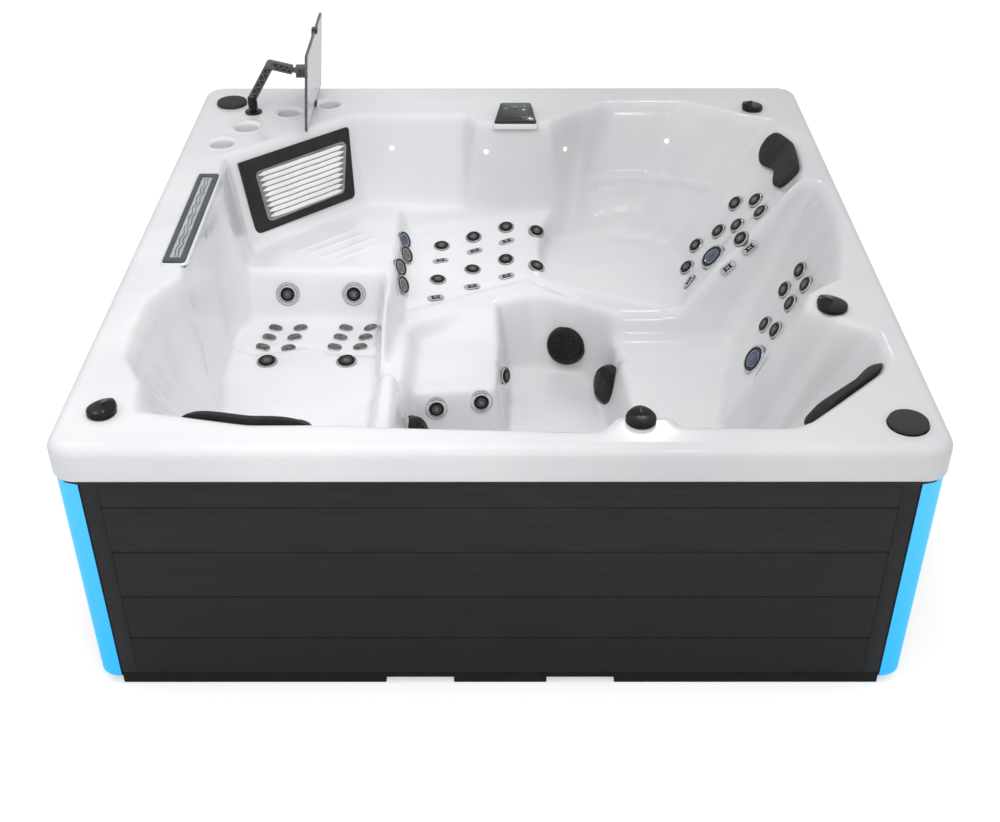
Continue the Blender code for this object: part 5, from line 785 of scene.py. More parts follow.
# a row of one shape: named inputs for the count, the start, the step and how each gets shorter
def rowTree():
    tree = bpy.data.node_groups.new("row", "GeometryNodeTree")
    for name, kind in (("Count", "Int"), ("Start", "Vector"), ("Step", "Vector"), ("Shrink", "Float"),
                       ("Shape", "Object"), ("Surface", "Material")):
        tree.interface.new_socket(name, in_out="INPUT", socket_type="NodeSocket" + kind)
    tree.interface.new_socket("Geometry", in_out="OUTPUT", socket_type="NodeSocketGeometry")
    kinds = {"given": "NodeGroupInput", "line": "GeometryNodeMeshLine", "shape": "GeometryNodeObjectInfo",
             "index": "GeometryNodeInputIndex", "less": "ShaderNodeMath", "left": "ShaderNodeMath",
             "size": "ShaderNodeCombineXYZ", "copies": "GeometryNodeInstanceOnPoints",
             "real": "GeometryNodeRealizeInstances", "paint": "GeometryNodeSetMaterial",
             "out": "NodeGroupOutput"}
    nodes = {name: tree.nodes.new(kind) for name, kind in kinds.items()}
    nodes["line"].mode = "OFFSET"
    nodes["less"].operation = "MULTIPLY"
    nodes["left"].operation = "SUBTRACT"
    nodes["left"].inputs[0].default_value = 1.0
    nodes["size"].inputs["Y"].default_value = 1.0
    nodes["size"].inputs["Z"].default_value = 1.0
    for start, output, end, socket in (
            ("given", "Count", "line", "Count"), ("given", "Start", "line", "Start Location"),
            ("given", "Step", "line", "Offset"), ("given", "Shape", "shape", "Object"),
            ("index", 0, "less", 0), ("given", "Shrink", "less", 1), ("less", 0, "left", 1),
            ("left", 0, "size", "X"),
            ("line", "Mesh", "copies", "Points"), ("shape", "Geometry", "copies", "Instance"),
            ("size", "Vector", "copies", "Scale"), ("copies", "Instances", "real", "Geometry"),
            ("real", "Geometry", "paint", "Geometry"), ("given", "Surface", "paint", "Material"),
            ("paint", "Geometry", "out", "Geometry")):
        tree.links.new(nodes[start].outputs[output], nodes[end].inputs[socket])
    return tree


rowNodes = rowTree()


# points and faces of a row of one shape
def repeated(shape, count, start, step, shrink, look):
    seedMesh = bpy.data.meshes.new("rowShape")
    seedMesh.from_pydata([tuple(p) for p in shape[0]], [], shape[1])
    seed = bpy.data.objects.new("rowShape", seedMesh)
    holder = bpy.data.objects.new("rowHolder", bpy.data.meshes.new("rowHolder"))
    bpy.context.scene.collection.objects.link(seed)
    bpy.context.scene.collection.objects.link(holder)
    row = holder.modifiers.new("row", "NODES")
    row.node_group = rowNodes
    values = {"Count": count, "Start": start, "Step": step, "Shrink": shrink, "Shape": seed,
              "Surface": looks[look]}
    for item in rowNodes.interface.items_tree:
        if item.in_out == "INPUT":
            row[item.identifier] = values[item.name]
    mesh = bpy.data.meshes.new_from_object(holder.evaluated_get(bpy.context.evaluated_depsgraph_get()))
    result = [v.co.copy() for v in mesh.vertices], [tuple(p.vertices) for p in mesh.polygons]
    bpy.data.objects.remove(holder)
    bpy.data.objects.remove(seed)
    return result


# jets: a pale ring round a dark ringed centre, slots, ribbed pills, lenses and the large faces that turn
jetSizes = {"round": 0.0285, "calf": 0.0325, "ring": 0.0055, "big": 0.0385, "foot": 0.037,
            "bigEye": 0.0235, "large": 0.049, "port": 0.0315, "slotLength": 0.056, "slotWidth": 0.0235,
            "ribLength": 0.045, "ribWidth": 0.024, "lift": 0.022, "sides": 28, "bigSides": 32,
            "lensSides": 36}
bankLeans = {"divider": (0.0, -0.36, 0.20), "back": (-0.05, -0.24, 0.14), "right": (-0.10, -0.28, 0.10),
             "calf": (0.0, -0.12, 0.0)}
farLean = (0.2, -0.55, 0.15)
jetTurns = {"ribIn": 14, "ribOut": -14, "legSlot": 18, "backSlot": 48, "lowSlot": -62}
eyeSteps = ((1.0, -0.12), (1.0, 0.06), (0.93, 0.13), (0.80, 0.14), (0.74, 0.05), (0.60, 0.05), (0.54, 0.13),
            (0.40, 0.15), (0.33, 0.09), (0.24, 0.09), (0.20, 0.13), (0.13, 0.13), (0.10, 0.05), (0.03, 0.05))


# a dark centre with fine grey rings on it
def addEye(build, place, eye, lift, sides):
    build.add(turnedShape([(eye * share, lift + eye * rise) for share, rise in eyeSteps], sides), "jet",
              place)
    for share, rise in ((0.54, 0.134), (0.16, 0.135)):
        line = ((0.040, -0.02), (0.036, 0.015), (-0.036, 0.015), (-0.040, -0.02))
        ring = [(eye * (share + out), lift + eye * (rise + up)) for out, up in line]
        build.add(turnedShape(ring, sides), "jetGrey", place)


# a turned shape whose steps are drawn in from a radius
def addTurned(build, place, radius, steps, sides, look):
    build.add(turnedShape([(radius + out, level) for out, level in steps], sides), look, place)


def addOutline(build, place, radius, level, width, sides, look="jetGrey"):
    steps = ((width, level - 0.004), (width, level), (width * 0.6, level + 0.0006), (0, level + 0.0006),
             (-0.0003, level - 0.001))
    addTurned(build, place, radius, steps, sides, look)


def addRound(build, place, radius, eye):
    sides = jetSizes["sides"]
    ring = [(radius, -0.012), (radius, 0.0016), (radius - 0.0008, 0.0028), (radius - 0.0022, 0.0032),
            (eye + 0.0028, 0.0022), (eye + 0.0012, 0.0040), (eye + 0.0003, 0.0042), (eye - 0.0005, 0.001)]
    build.add(turnedShape(ring, sides), "chrome", place)
    addOutline(build, place, radius, 0.0012, 0.0010, sides)
    addOutline(build, place, eye + 0.0002, 0.0036, 0.0012, sides, "jet")
    addEye(build, place, eye, 0.004, sides)


def addBig(build, place, radius):
    sides, eye = jetSizes["bigSides"], jetSizes["bigEye"]
    ring = [(radius, -0.012), (radius, 0.0014), (radius - 0.001, 0.0028), (radius - 0.0028, 0.0032),
            (radius - 0.0042, 0.0020), (eye + 0.006, 0.0002), (eye + 0.0036, 0.0018), (eye + 0.0018, 0.0050),
            (eye + 0.0004, 0.0052), (eye - 0.0005, 0.001)]
    build.add(turnedShape(ring, sides), "bezel", place)
    addOutline(build, place, radius, 0.0012, 0.0010, sides)
    addOutline(build, place, radius - 0.0050, 0.0016, 0.0009, sides)
    addOutline(build, place, eye + 0.0002, 0.0046, 0.0012, sides, "jet")
    addEye(build, place, eye, 0.0052, sides)


# chrome, dark and chrome rings round a lens
def addLens(build, place, radius):
    rings = (
        ("chrome", ((1.0, -0.014), (1.0, 0.004), (0.97, 0.0074), (0.90, 0.0090), (0.82, 0.0078),
                    (0.81, 0.003))),
        ("jet", ((0.825, 0.002), (0.825, 0.0088), (0.79, 0.0106), (0.64, 0.0102), (0.60, 0.0076),
                 (0.595, 0.003))),
        ("chrome", ((0.60, 0.002), (0.60, 0.0078), (0.575, 0.0090), (0.55, 0.0080), (0.54, 0.003))),
        ("lens", ((0.545, 0.002), (0.545, 0.0056), (0.46, 0.0066), (0.30, 0.0080), (0.12, 0.0086))),
    )
    for look, steps in rings:
        profile = [(radius * share, level) for share, level in steps]
        build.add(turnedShape(profile, jetSizes["lensSides"]), look, place)
    addOutline(build, place, radius, 0.0012, 0.0012, jetSizes["lensSides"])


# a chrome rim and a dark ring round a sunk lens, as on the divider's side
def addPort(build, place, inside):
    radius, sides = jetSizes["port"], jetSizes["sides"]
    edge = ((0, -0.014), (0, 0.003), (-0.0008, 0.0044), (-0.0020, 0.0046), (-0.0030, 0.0034))
    dark = ((-0.0024, 0.002), (-0.0024, 0.0048), (-0.0050, 0.0058), (-0.0082, 0.0050), (-0.0097, 0.0026))
    glass = ((-0.0092, 0.0006), (-0.0094, 0.0030), (-radius * 0.5, 0.0040), (-radius * 0.9, 0.0044))
    for look, steps in (("chrome", edge), ("jet", dark), (inside, glass)):
        addTurned(build, place, radius, steps, sides, look)
    addOutline(build, place, radius, 0.0014, 0.0010, sides)


def addPill(build, place, length, width, steps, look):
    loops = [roundedLoop(length / 2 - inset, width / 2 - inset, width / 2 - inset - 0.0004, level, 5)
             for inset, level in steps]
    build.add(loftShape(loops, False), look, place)


# a flat slotted jet: pale frame, two bright ends and a crossed dark middle
def addSlot(build, place):
    length, width = jetSizes["slotLength"], jetSizes["slotWidth"]
    for longer, wider, steps, look in (
            (0.0024, 0.0024, ((0, -0.012), (0, 0.0012), (0.0006, 0.0018)), "jetGrey"),
            (0, 0, ((0, -0.004), (0, 0.0016), (0.0008, 0.0028), (0.0022, 0.0030)), "bezel"),
            (-0.008, -0.007, ((0, 0.002), (0, 0.0034), (0.0006, 0.0038)), "jet")):
        addPill(build, place, length + longer, width + wider, steps, look)
    for side in (-1, 1):
        spot = place @ Matrix.Translation((side * (length / 2 - 0.0095), 0, 0.0030))
        addPill(build, spot, 0.0095, width - 0.0105, ((0, -0.002), (0, 0.0012), (0.0012, 0.0020)), "bezel")
    for turn in (-32, 32):
        bar = place @ Matrix.Translation((0, 0, 0.0034)) @ Matrix.Rotation(math.radians(turn), 4, "Z")
        addPill(build, bar, 0.0175, 0.0024, ((0, -0.002), (0, 0.0010), (0.0004, 0.0014)), "chrome")


# a raised ribbed pill, as in the calf bays
def addRib(build, place):
    length, width = jetSizes["ribLength"], jetSizes["ribWidth"]
    addPill(build, place, length + 0.005, width + 0.005,
            ((0, -0.008), (0, 0.0012), (0.001, 0.0026), (0.003, 0.003), (0.0042, 0.0012)), "chrome")
    loops = []
    for k in range(15):  # ribs run across the pill
        share = k / 14 * 2 - 1
        rise = math.sqrt(max(1 - (abs(share) * 0.97) ** 2.2, 0)) * 0.013 + 0.003
        rise -= 0.0014 if k % 2 else 0
        half = (width / 2 - 0.0005) * math.sqrt(max(1 - (abs(share) * 0.93) ** 4, 0.05))
        arch = [math.pi * i / 10 for i in range(10, -1, -1)]
        loops.append([(share * length / 2, half * math.cos(a), -0.002 + (rise + 0.002) * math.sin(a))
                      for a in arch])
    build.add(loftShape(loops), "ribbed", place)


# the part of a CAD bank that lies well behind the shell: barrels and pipes
def keepBacks(build, node):
    mesh = frame["nodes"][node].data
    corners, faces, places = [], [], {}
    for polygon in mesh.polygons:
        point, normal, _, _ = shellTree.find_nearest(polygon.center)
        if (polygon.center - point).dot(normal) > -0.007:
            continue
        for index in polygon.vertices:
            if index not in places:
                places[index] = len(corners)
                corners.append(mesh.vertices[index].co)
        faces.append([places[index] for index in polygon.vertices])
    if faces:
        build.add((corners, faces), "jet")


def addJet(build, kind, place):
    place = place @ Matrix.Rotation(math.radians(jetTurns.get(kind, 0)), 4, "Z")
    if kind in ("ribIn", "ribOut"):
        addRib(build, place)
    elif kind in jetTurns:
        addSlot(build, place)
    elif kind in ("port", "lens"):
        addPort(build, place, "lens" if kind == "lens" else "jetGrey")
    elif kind == "fixed":
        addBig(build, place, jetSizes["foot"])
    else:
        radius = jetSizes["calf" if kind == "wide" else "round"]
        addRound(build, place, radius, radius - jetSizes["ring"])


def makeJets():
    faceNumber = 0
    for bank, kinds in jets.items():
        build = Builder()
        for kind, spot in ((kind, spot) for kind, spots in kinds.items() for spot in spots):
            point, normal = seatOn(spot, 0.018)
            lean = Vector(farLean if kind == "far" else bankLeans.get(bank, (0, 0, 0)))
            place = upright(point + normal * lean.length * jetSizes["lift"], (normal + lean).normalized())
            if kind in ("big", "large"):
                faceNumber += 1
                makeFace(faceNumber, kind, place)
            else:
                addJet(build, kind, place)
        keepBacks(build, "jets_" + bank)
        settle(build.finish("jets" + bank.capitalize()), "tub", "jet", "jets_" + bank)


# a large jet turns on its own body
def makeFace(number, kind, place):
    build = Builder()
    if kind == "big":
        addBig(build, place, jetSizes["big"])
    else:
        addLens(build, place, jetSizes["large"])
    node = "jet_face_%d" % number
    settle(build.finish("jetFace%d" % number), node, "jet_face", node)


makeJets()
print("jets made")


# drain covers
coverSizes = {"radius": 0.067, "proud": 0.026, "sides": 40, "ribs": 7, "flange": 1.04}
coverTilts = ((0, -0.1, 0.1), (-0.25, -0.55, 0.05), (0.25, -0.55, 0.35))


def makeCovers():
    radius, proud, sides, count = (coverSizes[key] for key in ("radius", "proud", "sides", "ribs"))
    for number, (spot, tilt) in enumerate(zip(coverSpots, coverTilts), 1):
        point, normal = seatOn(spot, 0.05)
        place = upright(point, (normal + Vector(tilt)).normalized())
        build = Builder()
        dome = [(radius * 0.97, -0.012), (radius, 0.004), (radius * 0.99, proud * 0.5),
                (radius * 0.93, proud * 0.78),
                (radius * 0.80, proud * 0.92), (radius * 0.5, proud), (radius * 0.1, proud)]
        build.add(turnedShape(dome, sides), "cover", place)
        rib = [roundedLoop(radius * 0.46, 0.0022, 0.0015, level, 3) for level in (-0.002, 0.0008)]
        rib.append(roundedLoop(radius * 0.455, 0.0016, 0.001, 0.0014, 3))
        step = radius * 1.3 / (count - 1)
        row = repeated(loftShape(rib), count, (0, -radius * 0.65, proud - 0.0005), (0, step, 0), 0.0, "cover")
        build.add(row, "cover", place)
        flange = radius * coverSizes["flange"]
        skirt = [(flange, -0.006), (flange, 0.001), (radius * 1.02, 0.003), (radius * 0.985, 0.003)]
        build.add(turnedShape(skirt, sides), "cover", place)
        settle(build.finish("drainCover%d" % number), "tub", "cover", "suction_cover_%d" % number)


makeCovers()
print("covers made")


# filter frame and louvres: corners of the outer and inner outline on the wall's plane, right and down
filterSizes = {
    "outer": ((0.029, 0.033), (0.490, 0.030), (0.4466, 0.279), (0.0255, 0.286)),
    "outerRadii": (0.004, 0.010, 0.020, 0.022),
    "inner": ((0.088, 0.086), (0.4575, 0.080), (0.401, 0.241), (0.090, 0.250)),
    "innerRadii": (0.012, 0.012, 0.012, 0.012),
    "top": 0.0095, "louvres": 9, "length": 0.362, "spread": 0.1475, "shrink": 0.0195,
}
louvreSection = ((-0.0076, -0.0028), (-0.0072, 0.0004), (-0.0048, 0.0018), (0.0005, 0.0014), (0.0050, 0.0002),
                 (0.0076, -0.0018), (0.0034, -0.0040), (-0.0034, -0.0040))


# an outline with its corners rounded, in the order in which they are given
def roundedCorners(corners, radii, steps=7):
    loop = []
    count = len(corners)
    for i in range(count):
        here, back, ahead = (Vector(corners[k % count]).to_2d() for k in (i, i - 1, i + 1))
        a, b = (back - here).normalized(), (ahead - here).normalized()
        half = a.angle(b) / 2
        reach = radii[i] / math.tan(half)
        middle = here + (a + b).normalized() * (radii[i] / math.sin(half))
        start, end = here + a * reach, here + b * reach
        angle0 = math.atan2(*(start - middle).yx)
        angle1 = math.atan2(*(end - middle).yx)
        turn = (angle1 - angle0 + math.pi) % math.tau - math.pi
        for k in range(steps):
            angle = angle0 + turn * k / (steps - 1)
            loop.append(Vector((middle.x + radii[i] * math.cos(angle), middle.y
                                + radii[i] * math.sin(angle))))
    return loop


# an outline with each point moved inwards, by its two edges
def insetLoop(loop, amount):
    count = len(loop)
    area = sum(loop[i - 1].cross(loop[i]) for i in range(count))
    side = 1 if area > 0 else -1
    moved = []
    for i in range(count):
        a = (loop[i] - loop[i - 1])
        b = (loop[(i + 1) % count] - loop[i])
        a = a.normalized() if a.length > 1e-7 else b.normalized()
        b = b.normalized() if b.length > 1e-7 else a
        normal = Vector((-(a + b).y, (a + b).x)).normalized() * side
        moved.append(loop[i] + normal * amount)
    return moved


# an outline at several insets and levels
def insetLoops(loop, steps):
    return [[(*p, level) for p in insetLoop(loop, inset)] for inset, level in steps]


# bands of faces between outlines with the same number of points
def addBands(build, loops, look, place):
    for a, b in zip(loops, loops[1:]):
        build.add((a + b, [face[::-1] for face in bandFaces(2, len(a))]), look, place)


# one louvre: a curved blade with drawn-in ends
def louvreShape():
    length, loops = filterSizes["length"], []
    for k in range(17):
        share = k / 16
        edge = min(share, 1 - share) * length
        full = min(edge / (0.030 if share < 0.5 else 0.011), 1.0)
        swell = math.sqrt(max(1 - (1 - full) ** 2, 0.02))
        sway = 0.0004 * math.sin(share * math.pi * 5)
        loops.append([(share * length, y * swell + sway, z * (0.55 + 0.45 * swell)) for y,
                      z in louvreSection[::-1]])
    return loftShape(loops)


def makeFilter():
    along, down, out = (Vector(filterWall[k]) for k in ("along", "down", "out"))
    place = axesAt(along, -down, out, Vector(filterWall["corner"]))
    outer, inner = ([Vector((p.x, -p.y))
                     for p in roundedCorners(filterSizes[key], filterSizes[key + "Radii"])]
                    for key in ("outer", "inner"))
    top = filterSizes["top"]
    build = Builder()
    plate = insetLoops(outer, ((0.0, -0.004), (0.0, top - 0.002), (0.0006, top - 0.0006), (0.002, top)))
    bevel = insetLoops(inner, ((-0.0075, top), (-0.0066, top - 0.0012), (-0.001, top - 0.0035),
                               (0.0008, top - 0.0060), (0.0012, -0.008)))
    addBands(build, plate + bevel[:1], "faceplate", place)
    addBands(build, bevel, "bevelGrey", place)
    settle(build.finish("filterFrame", 35), "tub", "faceplate", "filter_frame")

    build = Builder()
    count = filterSizes["louvres"]
    (leftX, leftY), (rightX, rightY) = filterSizes["inner"][:2]
    lean = math.atan2(leftY - rightY, rightX - leftX) * 0.6
    tilt = place @ Matrix.Translation((leftX + 0.0035, -leftY - 0.0085, 0.0058))
    tilt = tilt @ Matrix.Rotation(lean, 4, "Z")
    step = (0.0006, -filterSizes["spread"] / (count - 1), 0)
    row = repeated(louvreShape(), count, (0, 0, 0), step, filterSizes["shrink"], "grille")
    build.add(row, "grille", tilt)
    # a dark sheet just behind the louvres, painted shade that shows in the gaps between them
    back = [(*p, 0.0012) for p in insetLoop(inner, -0.004)]
    build.add((back, [tuple(reversed(range(len(back))))]), "grilleBack", place)
    settle(build.finish("filterLouvres", 50), "tub", "grille", "filter_grille")


makeFilter()
print("filter made")


# waterfall: a long spout let into the rim, with a wavy pane in it
fallSizes = {"x": -0.958, "y": 0.063, "halfX": 0.033, "halfY": 0.298, "top": 0.8205, "windowX": 0.0165,
             "windowY": 0.272, "paneDrop": 0.0026, "waves": 92, "waveSteps": 110}
fallLines = (  # lines on the pane: place across it, half width and sway, where a line waves
    (-0.0125, 0.0009, 0), (0.0125, 0.0009, 0), (-0.0045, 0.0011, 0.0028), (0.0055, 0.0011, 0.0028),
)


# a low raised line along the pane
def paneLine(centre, half, sway):
    steps = fallSizes["waveSteps"] if sway else 2
    points, faces = [], []
    for k in range(steps + 1):
        y = (k / steps * 2 - 1) * (fallSizes["windowY"] - 0.006)
        x = centre + sway * math.sin(y * fallSizes["waves"])
        for dx, z in ((-half, -0.0026), (-half * 0.6, -0.0014), (half * 0.6, -0.0014), (half, -0.0026)):
            points.append((x + dx, y, fallSizes["top"] + z))
    for k in range(steps):
        for m in range(3):
            a = k * 4 + m
            faces.append((a, a + 1, a + 5, a + 4))
    return points, faces


def makeWaterfall():
    build = Builder()
    place = Matrix.Translation((fallSizes["x"], fallSizes["y"], 0))
    halfX, halfY, top, paneX, paneY = (fallSizes[key]
                                       for key in ("halfX", "halfY", "top", "windowX", "windowY"))
    pane = top - fallSizes["paneDrop"]
    bezel = [roundedLoop(halfX + grow, halfY + grow, 0.011 + grow, level, 6) for grow, level in
             ((0.0085, 0.8085), (0.0078, 0.8125), (0.006, 0.8150), (0.003, 0.8162), (0.0005, 0.8150),
              (-0.001, 0.812))]
    build.add(loftShape(bezel, False, False), "acrylic", place)
    body = [roundedLoop(halfX - inset, halfY - inset, 0.010 - inset, level, 6) for inset, level in
            ((0, 0.79), (0, top - 0.003), (0.0012, top - 0.0008), (0.0035, top))]
    body += [roundedLoop(paneX + grow, paneY + grow, 0.003, level, 6)
             for grow, level in ((0.0012, top), (0.0004, top - 0.0008), (0.0, pane))]
    build.add(loftShape(body, True, False), "spout", place)
    window = [(-paneX, -paneY, pane), (paneX, -paneY, pane), (paneX, paneY, pane), (-paneX, paneY, pane)]
    build.add((window, [(0, 1, 2, 3)]), "spoutWindow", place)
    for centre, half, sway in fallLines:
        build.add(paneLine(centre, half, sway), "spout" if sway else "bezel", place)
    settle(build.finish("waterfallSpout"), "tub", "spout", "waterfall")


makeWaterfall()


# control panel
controlSizes = {"front": 0.777, "frontTop": 0.823, "backTop": 0.84, "depth": 0.131, "sill": 0.8262,
                "frontSpan": (-0.022, 0.128), "backSpan": (0.110, 0.0),
                "rounding": (0.006, 0.006, 0.012, 0.012), "faceRounding": 0.004,
                "face": ((0.006, 0.026), (0.100, 0.026), (0.094, 0.116), (0.012, 0.116))}
controlLamps = (  # small lit marks: place, half sizes and finish
    ((0.019, 0.086), (0.0085, 0.012), "litGreen"), ((0.0085, 0.085), (0.0022, 0.010), "litRed"),
    ((0.083, 0.098), (0.0042, 0.004), "litLime"), ((0.083, 0.080), (0.0035, 0.004), "litCyan"),
    ((0.047, 0.100), (0.013, 0.006), "controlMark"), ((0.116, 0.086), (0.0035, 0.003), "controlMark"),
)
litMarks = {"litGreen": ((0.02, 0.16, 0.10), 0.6), "litRed": ((0.16, 0.01, 0.03), 0.5),
            "litLime": ((0.05, 0.5, 0.06), 1.0), "litCyan": ((0.15, 0.75, 0.9), 1.1)}


def makeLitLooks():
    for name, (colour, power) in litMarks.items():
        base, dark, pale = (tuple(part * share for part in colour) for share in (0.3, 0.25, 0.4))
        looks[name] = addEmission(makeFinish(name, base, dark, pale, 80.0, 0.25), colour, power)


def makeControl():
    rise = controlSizes["backTop"] - controlSizes["frontTop"]
    slope, run = math.atan2(rise, controlSizes["depth"]), math.hypot(rise, controlSizes["depth"])
    place = Matrix.Translation((0, controlSizes["front"], controlSizes["frontTop"]))
    place = place @ Matrix.Rotation(slope, 4, "X")
    corners = [(x, 0.0) for x in controlSizes["frontSpan"]] + [(x, run) for x in controlSizes["backSpan"]]
    outline = roundedCorners(corners, controlSizes["rounding"], 5)
    build = Builder()
    body = insetLoops(outline, ((0.0, -0.030), (0.0, -0.0035), (0.0008, -0.001), (0.0026, 0.0)))
    build.add(loftShape(body), "control", place)
    sill = insetLoops(outline, ((-0.007, -0.030), (-0.0065, -0.0145), (-0.005, -0.0125), (-0.002, -0.012),
                                (-0.0002, -0.0135)))
    flat = Matrix.Translation((0, controlSizes["front"], controlSizes["sill"]))
    build.add(loftShape(sill, False, False), "acrylic", flat)
    face = roundedCorners(controlSizes["face"], (controlSizes["faceRounding"],) * 4, 4)
    build.add(loftShape(insetLoops(face, ((0, -0.001), (0, 0.0004), (0.0006, 0.0007)))), "controlFace", place)
    for spot, half, look in controlLamps:
        mark = insetStack(*half, 0.0015, ((0, 0.0), (0, 0.0011), (0.0004, 0.0014)), 3)
        build.add(loftShape(mark), look, place @ Matrix.Translation((*spot, 0)))
    settle(build.finish("controlPanel"), "tub", "control", "control_panel")


makeLitLooks()
makeControl()
print("waterfall and control panel made")


# knobs: plan place, radius, the way the lobe points in degrees, and how high it stands
knobSizes = {
    "knob_1": ((-0.9845, -0.985), 0.037, 35, 1.0), "knob_2": ((0.3454, -1.0203), 0.038, 90, 0.55),
    "knob_3": ((0.9218, -0.4845), 0.042, 150, 1.0), "knob_4": ((0.913, 0.9166), 0.037, 200, 1.3),
}
knobSeat = 0.0003  # how far a knob stands off the rim
knobSteps = (  # share of the radius, height and lift towards the lobe
    (0.93, 0.0078, 0.0), (0.985, 0.0088, 0.0), (1.0, 0.0102, 0.02), (0.985, 0.0122, 0.06),
    (0.93, 0.0134, 0.10), (0.80, 0.0142, 0.15), (0.60, 0.0148, 0.20), (0.40, 0.0150, 0.24),
    (0.20, 0.0150, 0.27), (0.04, 0.0150, 0.28),
)


# a ring drawn out to a lobe on one side, and higher there
def lobedLoop(radius, lobe, turn, low, wedge, sides=48):
    loop = []
    for i in range(sides):
        angle = math.tau * i / sides
        off = (angle - turn + math.pi) % math.tau - math.pi
        reach = radius * (1 + lobe * math.exp(-(off / 0.5) ** 2))
        slope = max(0.0, reach * math.cos(off) / radius + 0.35) / 1.35
        loop.append((reach * math.cos(angle), reach * math.sin(angle), low + wedge * slope ** 2))
    return loop


def makeKnobs():
    for node, ((x, y), radius, turn, height) in knobSizes.items():
        place = Matrix.Translation((x, y, rim["height"] + knobSeat))
        build = Builder()
        base = [(radius * 0.97, 0.0), (radius, 0.0015), (radius, 0.0065), (radius * 0.96, 0.0078),
                (radius * 0.86, 0.0078)]
        build.add(turnedShape(base, 44), "fitting", place)
        loops = []
        for share, low, lift in knobSteps:
            wedge = height * 0.010 * min(lift / 0.10, 1.0)
            loops.append(lobedLoop(radius * share, 0.08 * min(1, share * 1.05), math.radians(turn),
                                   low + height * lift * 0.012, wedge))
        build.add(loftShape(loops), "fitting", place)
        settle(build.finish(node.replace("knob_", "knobDome"), 50), node, "fitting", node)


# the cans rise out of wells, which are one piece on the tub
def makeSpeakers():
    wells = Builder()
    sides = speakerSizes["sides"]
    for number, ((x, y), radius) in enumerate(zip(speakerSpots, speakerSizes["caps"]), 1):
        place = Matrix.Translation((x, y, rim["height"]))
        well = [(0.0530, -0.0006), (0.0520, 0.0003), (0.0428, 0.0003), (0.0420, -0.0005), (0.0418, -0.0780),
                (0.001, -0.0780)]
        wells.add(turnedShape(well, sides), "fitting", place)
        build = Builder()
        can = [(0.0385, -0.071), (0.0405, -0.069), (0.0405, -0.001)]
        build.add(turnedShape(can, 40), "speaker", place)
        cap = ((-0.0045, 0.0005), (-0.0010, 0.0012), (0.0, 0.0035), (-0.0003, 0.0085), (-0.0015, 0.0110),
               (-0.0040, 0.0122), (-0.0050, 0.0119), (-0.0057, 0.0122), (-0.0085, 0.0130), (-0.0245, 0.0137),
               (-0.0445, 0.0139))
        addTurned(build, place, radius, cap, sides, "speaker")
        node = "speaker_%d" % number
        settle(build.finish("speakerCap%d" % number, 60), node, "fitting", node)
    settle(wells.finish("speakerWells"), "tub", "fitting")


makeKnobs()
makeSpeakers()
print("knobs and speakers made")


# head rests: centre, angles, heights of top and foot, thickness, hang over the rim's edge
restSizes = {
    "pillow_lounger": ((0.605, 0.4788), (-10, 39), (0.809, 0.716), 0.036, 0.016),
    "pillow_corner": ((0.55, -0.7068), (-45, -1), (0.809, 0.700), 0.042, 0.0),
    "pillow_left": ((-0.616, -0.57), (-116, -70), (0.808, 0.700), 0.042, 0.0),
}
restDetail = {"steps": 56, "rows": 22, "edge": 0.006, "seam": 0.0026, "dish": 0.0042, "back": 0.0015,
              "thinnest": 0.004}


def wallAt(centre, angle, level):
    heading = Vector((math.cos(angle), math.sin(angle), 0))
    start = Vector((*centre, level)) + heading * 0.12
    point = shellTree.ray_cast(start, heading)[0]
    return point if point else shellTree.find_nearest(start + heading * 0.4)[0]


# how far a rest stands off the wall at u along it and v up it: crowned, dished, with a seam round its edge
def restDepth(u, v, thickness):
    crown = (1 - abs(u) ** 5.0) * (1 - abs(v) ** 2.8)
    seam = restDetail["seam"] * math.exp(-((max(abs(u), abs(v)) - 0.80) / 0.035) ** 2)
    dish = restDetail["dish"] * math.exp(-((v + 0.05) / 0.42) ** 2) * (1 - abs(u) ** 2)
    edge = restDetail["edge"]
    depth = edge + (thickness - edge) * math.sqrt(max(crown, 0)) - seam * min(crown * 4, 1) - dish
    return max(depth, restDetail["thinnest"])


# moulded foam rests that follow the shell's wall behind them
def makeRests():
    steps, rows = restDetail["steps"], restDetail["rows"]
    for node, (centre, angles, (top, foot), thickness, waist) in restSizes.items():
        start, end = (math.radians(a) for a in angles)
        front, back = [], []
        for i in range(steps + 1):
            u = 2 * i / steps - 1
            angle = start + (end - start) * i / steps
            low = foot + waist * math.exp(-((u + 0.10) / 0.36) ** 2)
            low -= waist * 0.3 * math.exp(-((u - 0.62) / 0.3) ** 2)
            half = (top - low) / 2 * math.sqrt(max(1 - abs(u) ** 5, 0.03))
            outward = Vector((-math.cos(angle), -math.sin(angle), 0))
            for j in range(rows + 1):
                v = 2 * j / rows - 1
                level = (top + low) / 2 + half * v
                point = wallAt(centre, angle, min(level, 0.79))
                point = Vector((point.x, point.y, level))
                back.append(point + outward * restDetail["back"])
                front.append(point + outward * restDepth(u, v, thickness))
        count, width = len(back), rows + 1
        faces = []
        for a in (i * width + j for i in range(steps) for j in range(rows)):
            faces.append((count + a, count + a + width, count + a + width + 1, count + a + 1))
            faces.append((a, a + 1, a + width + 1, a + width))
        border = list(range(width)) + [i * width + rows for i in range(1, steps + 1)]
        border += [steps * width + j for j in range(rows - 1, -1, -1)]
        border += [i * width for i in range(steps - 1, 0, -1)]
        faces += [(a, count + a, count + b, b) for a, b in zip(border, border[1:] + border[:1])]
        piece = meshPiece("rest" + node.split("_")[1].capitalize(), back + front, faces, [looks["pillow"]],
                          None, 60)
        grid = bmesh.new()
        grid.from_mesh(piece.data)
        bmesh.ops.recalc_face_normals(grid, faces=grid.faces)
        grid.to_mesh(piece.data)
        grid.free()
        settle(piece, "tub", "pillow", node)


makeRests()
print("head rests made")


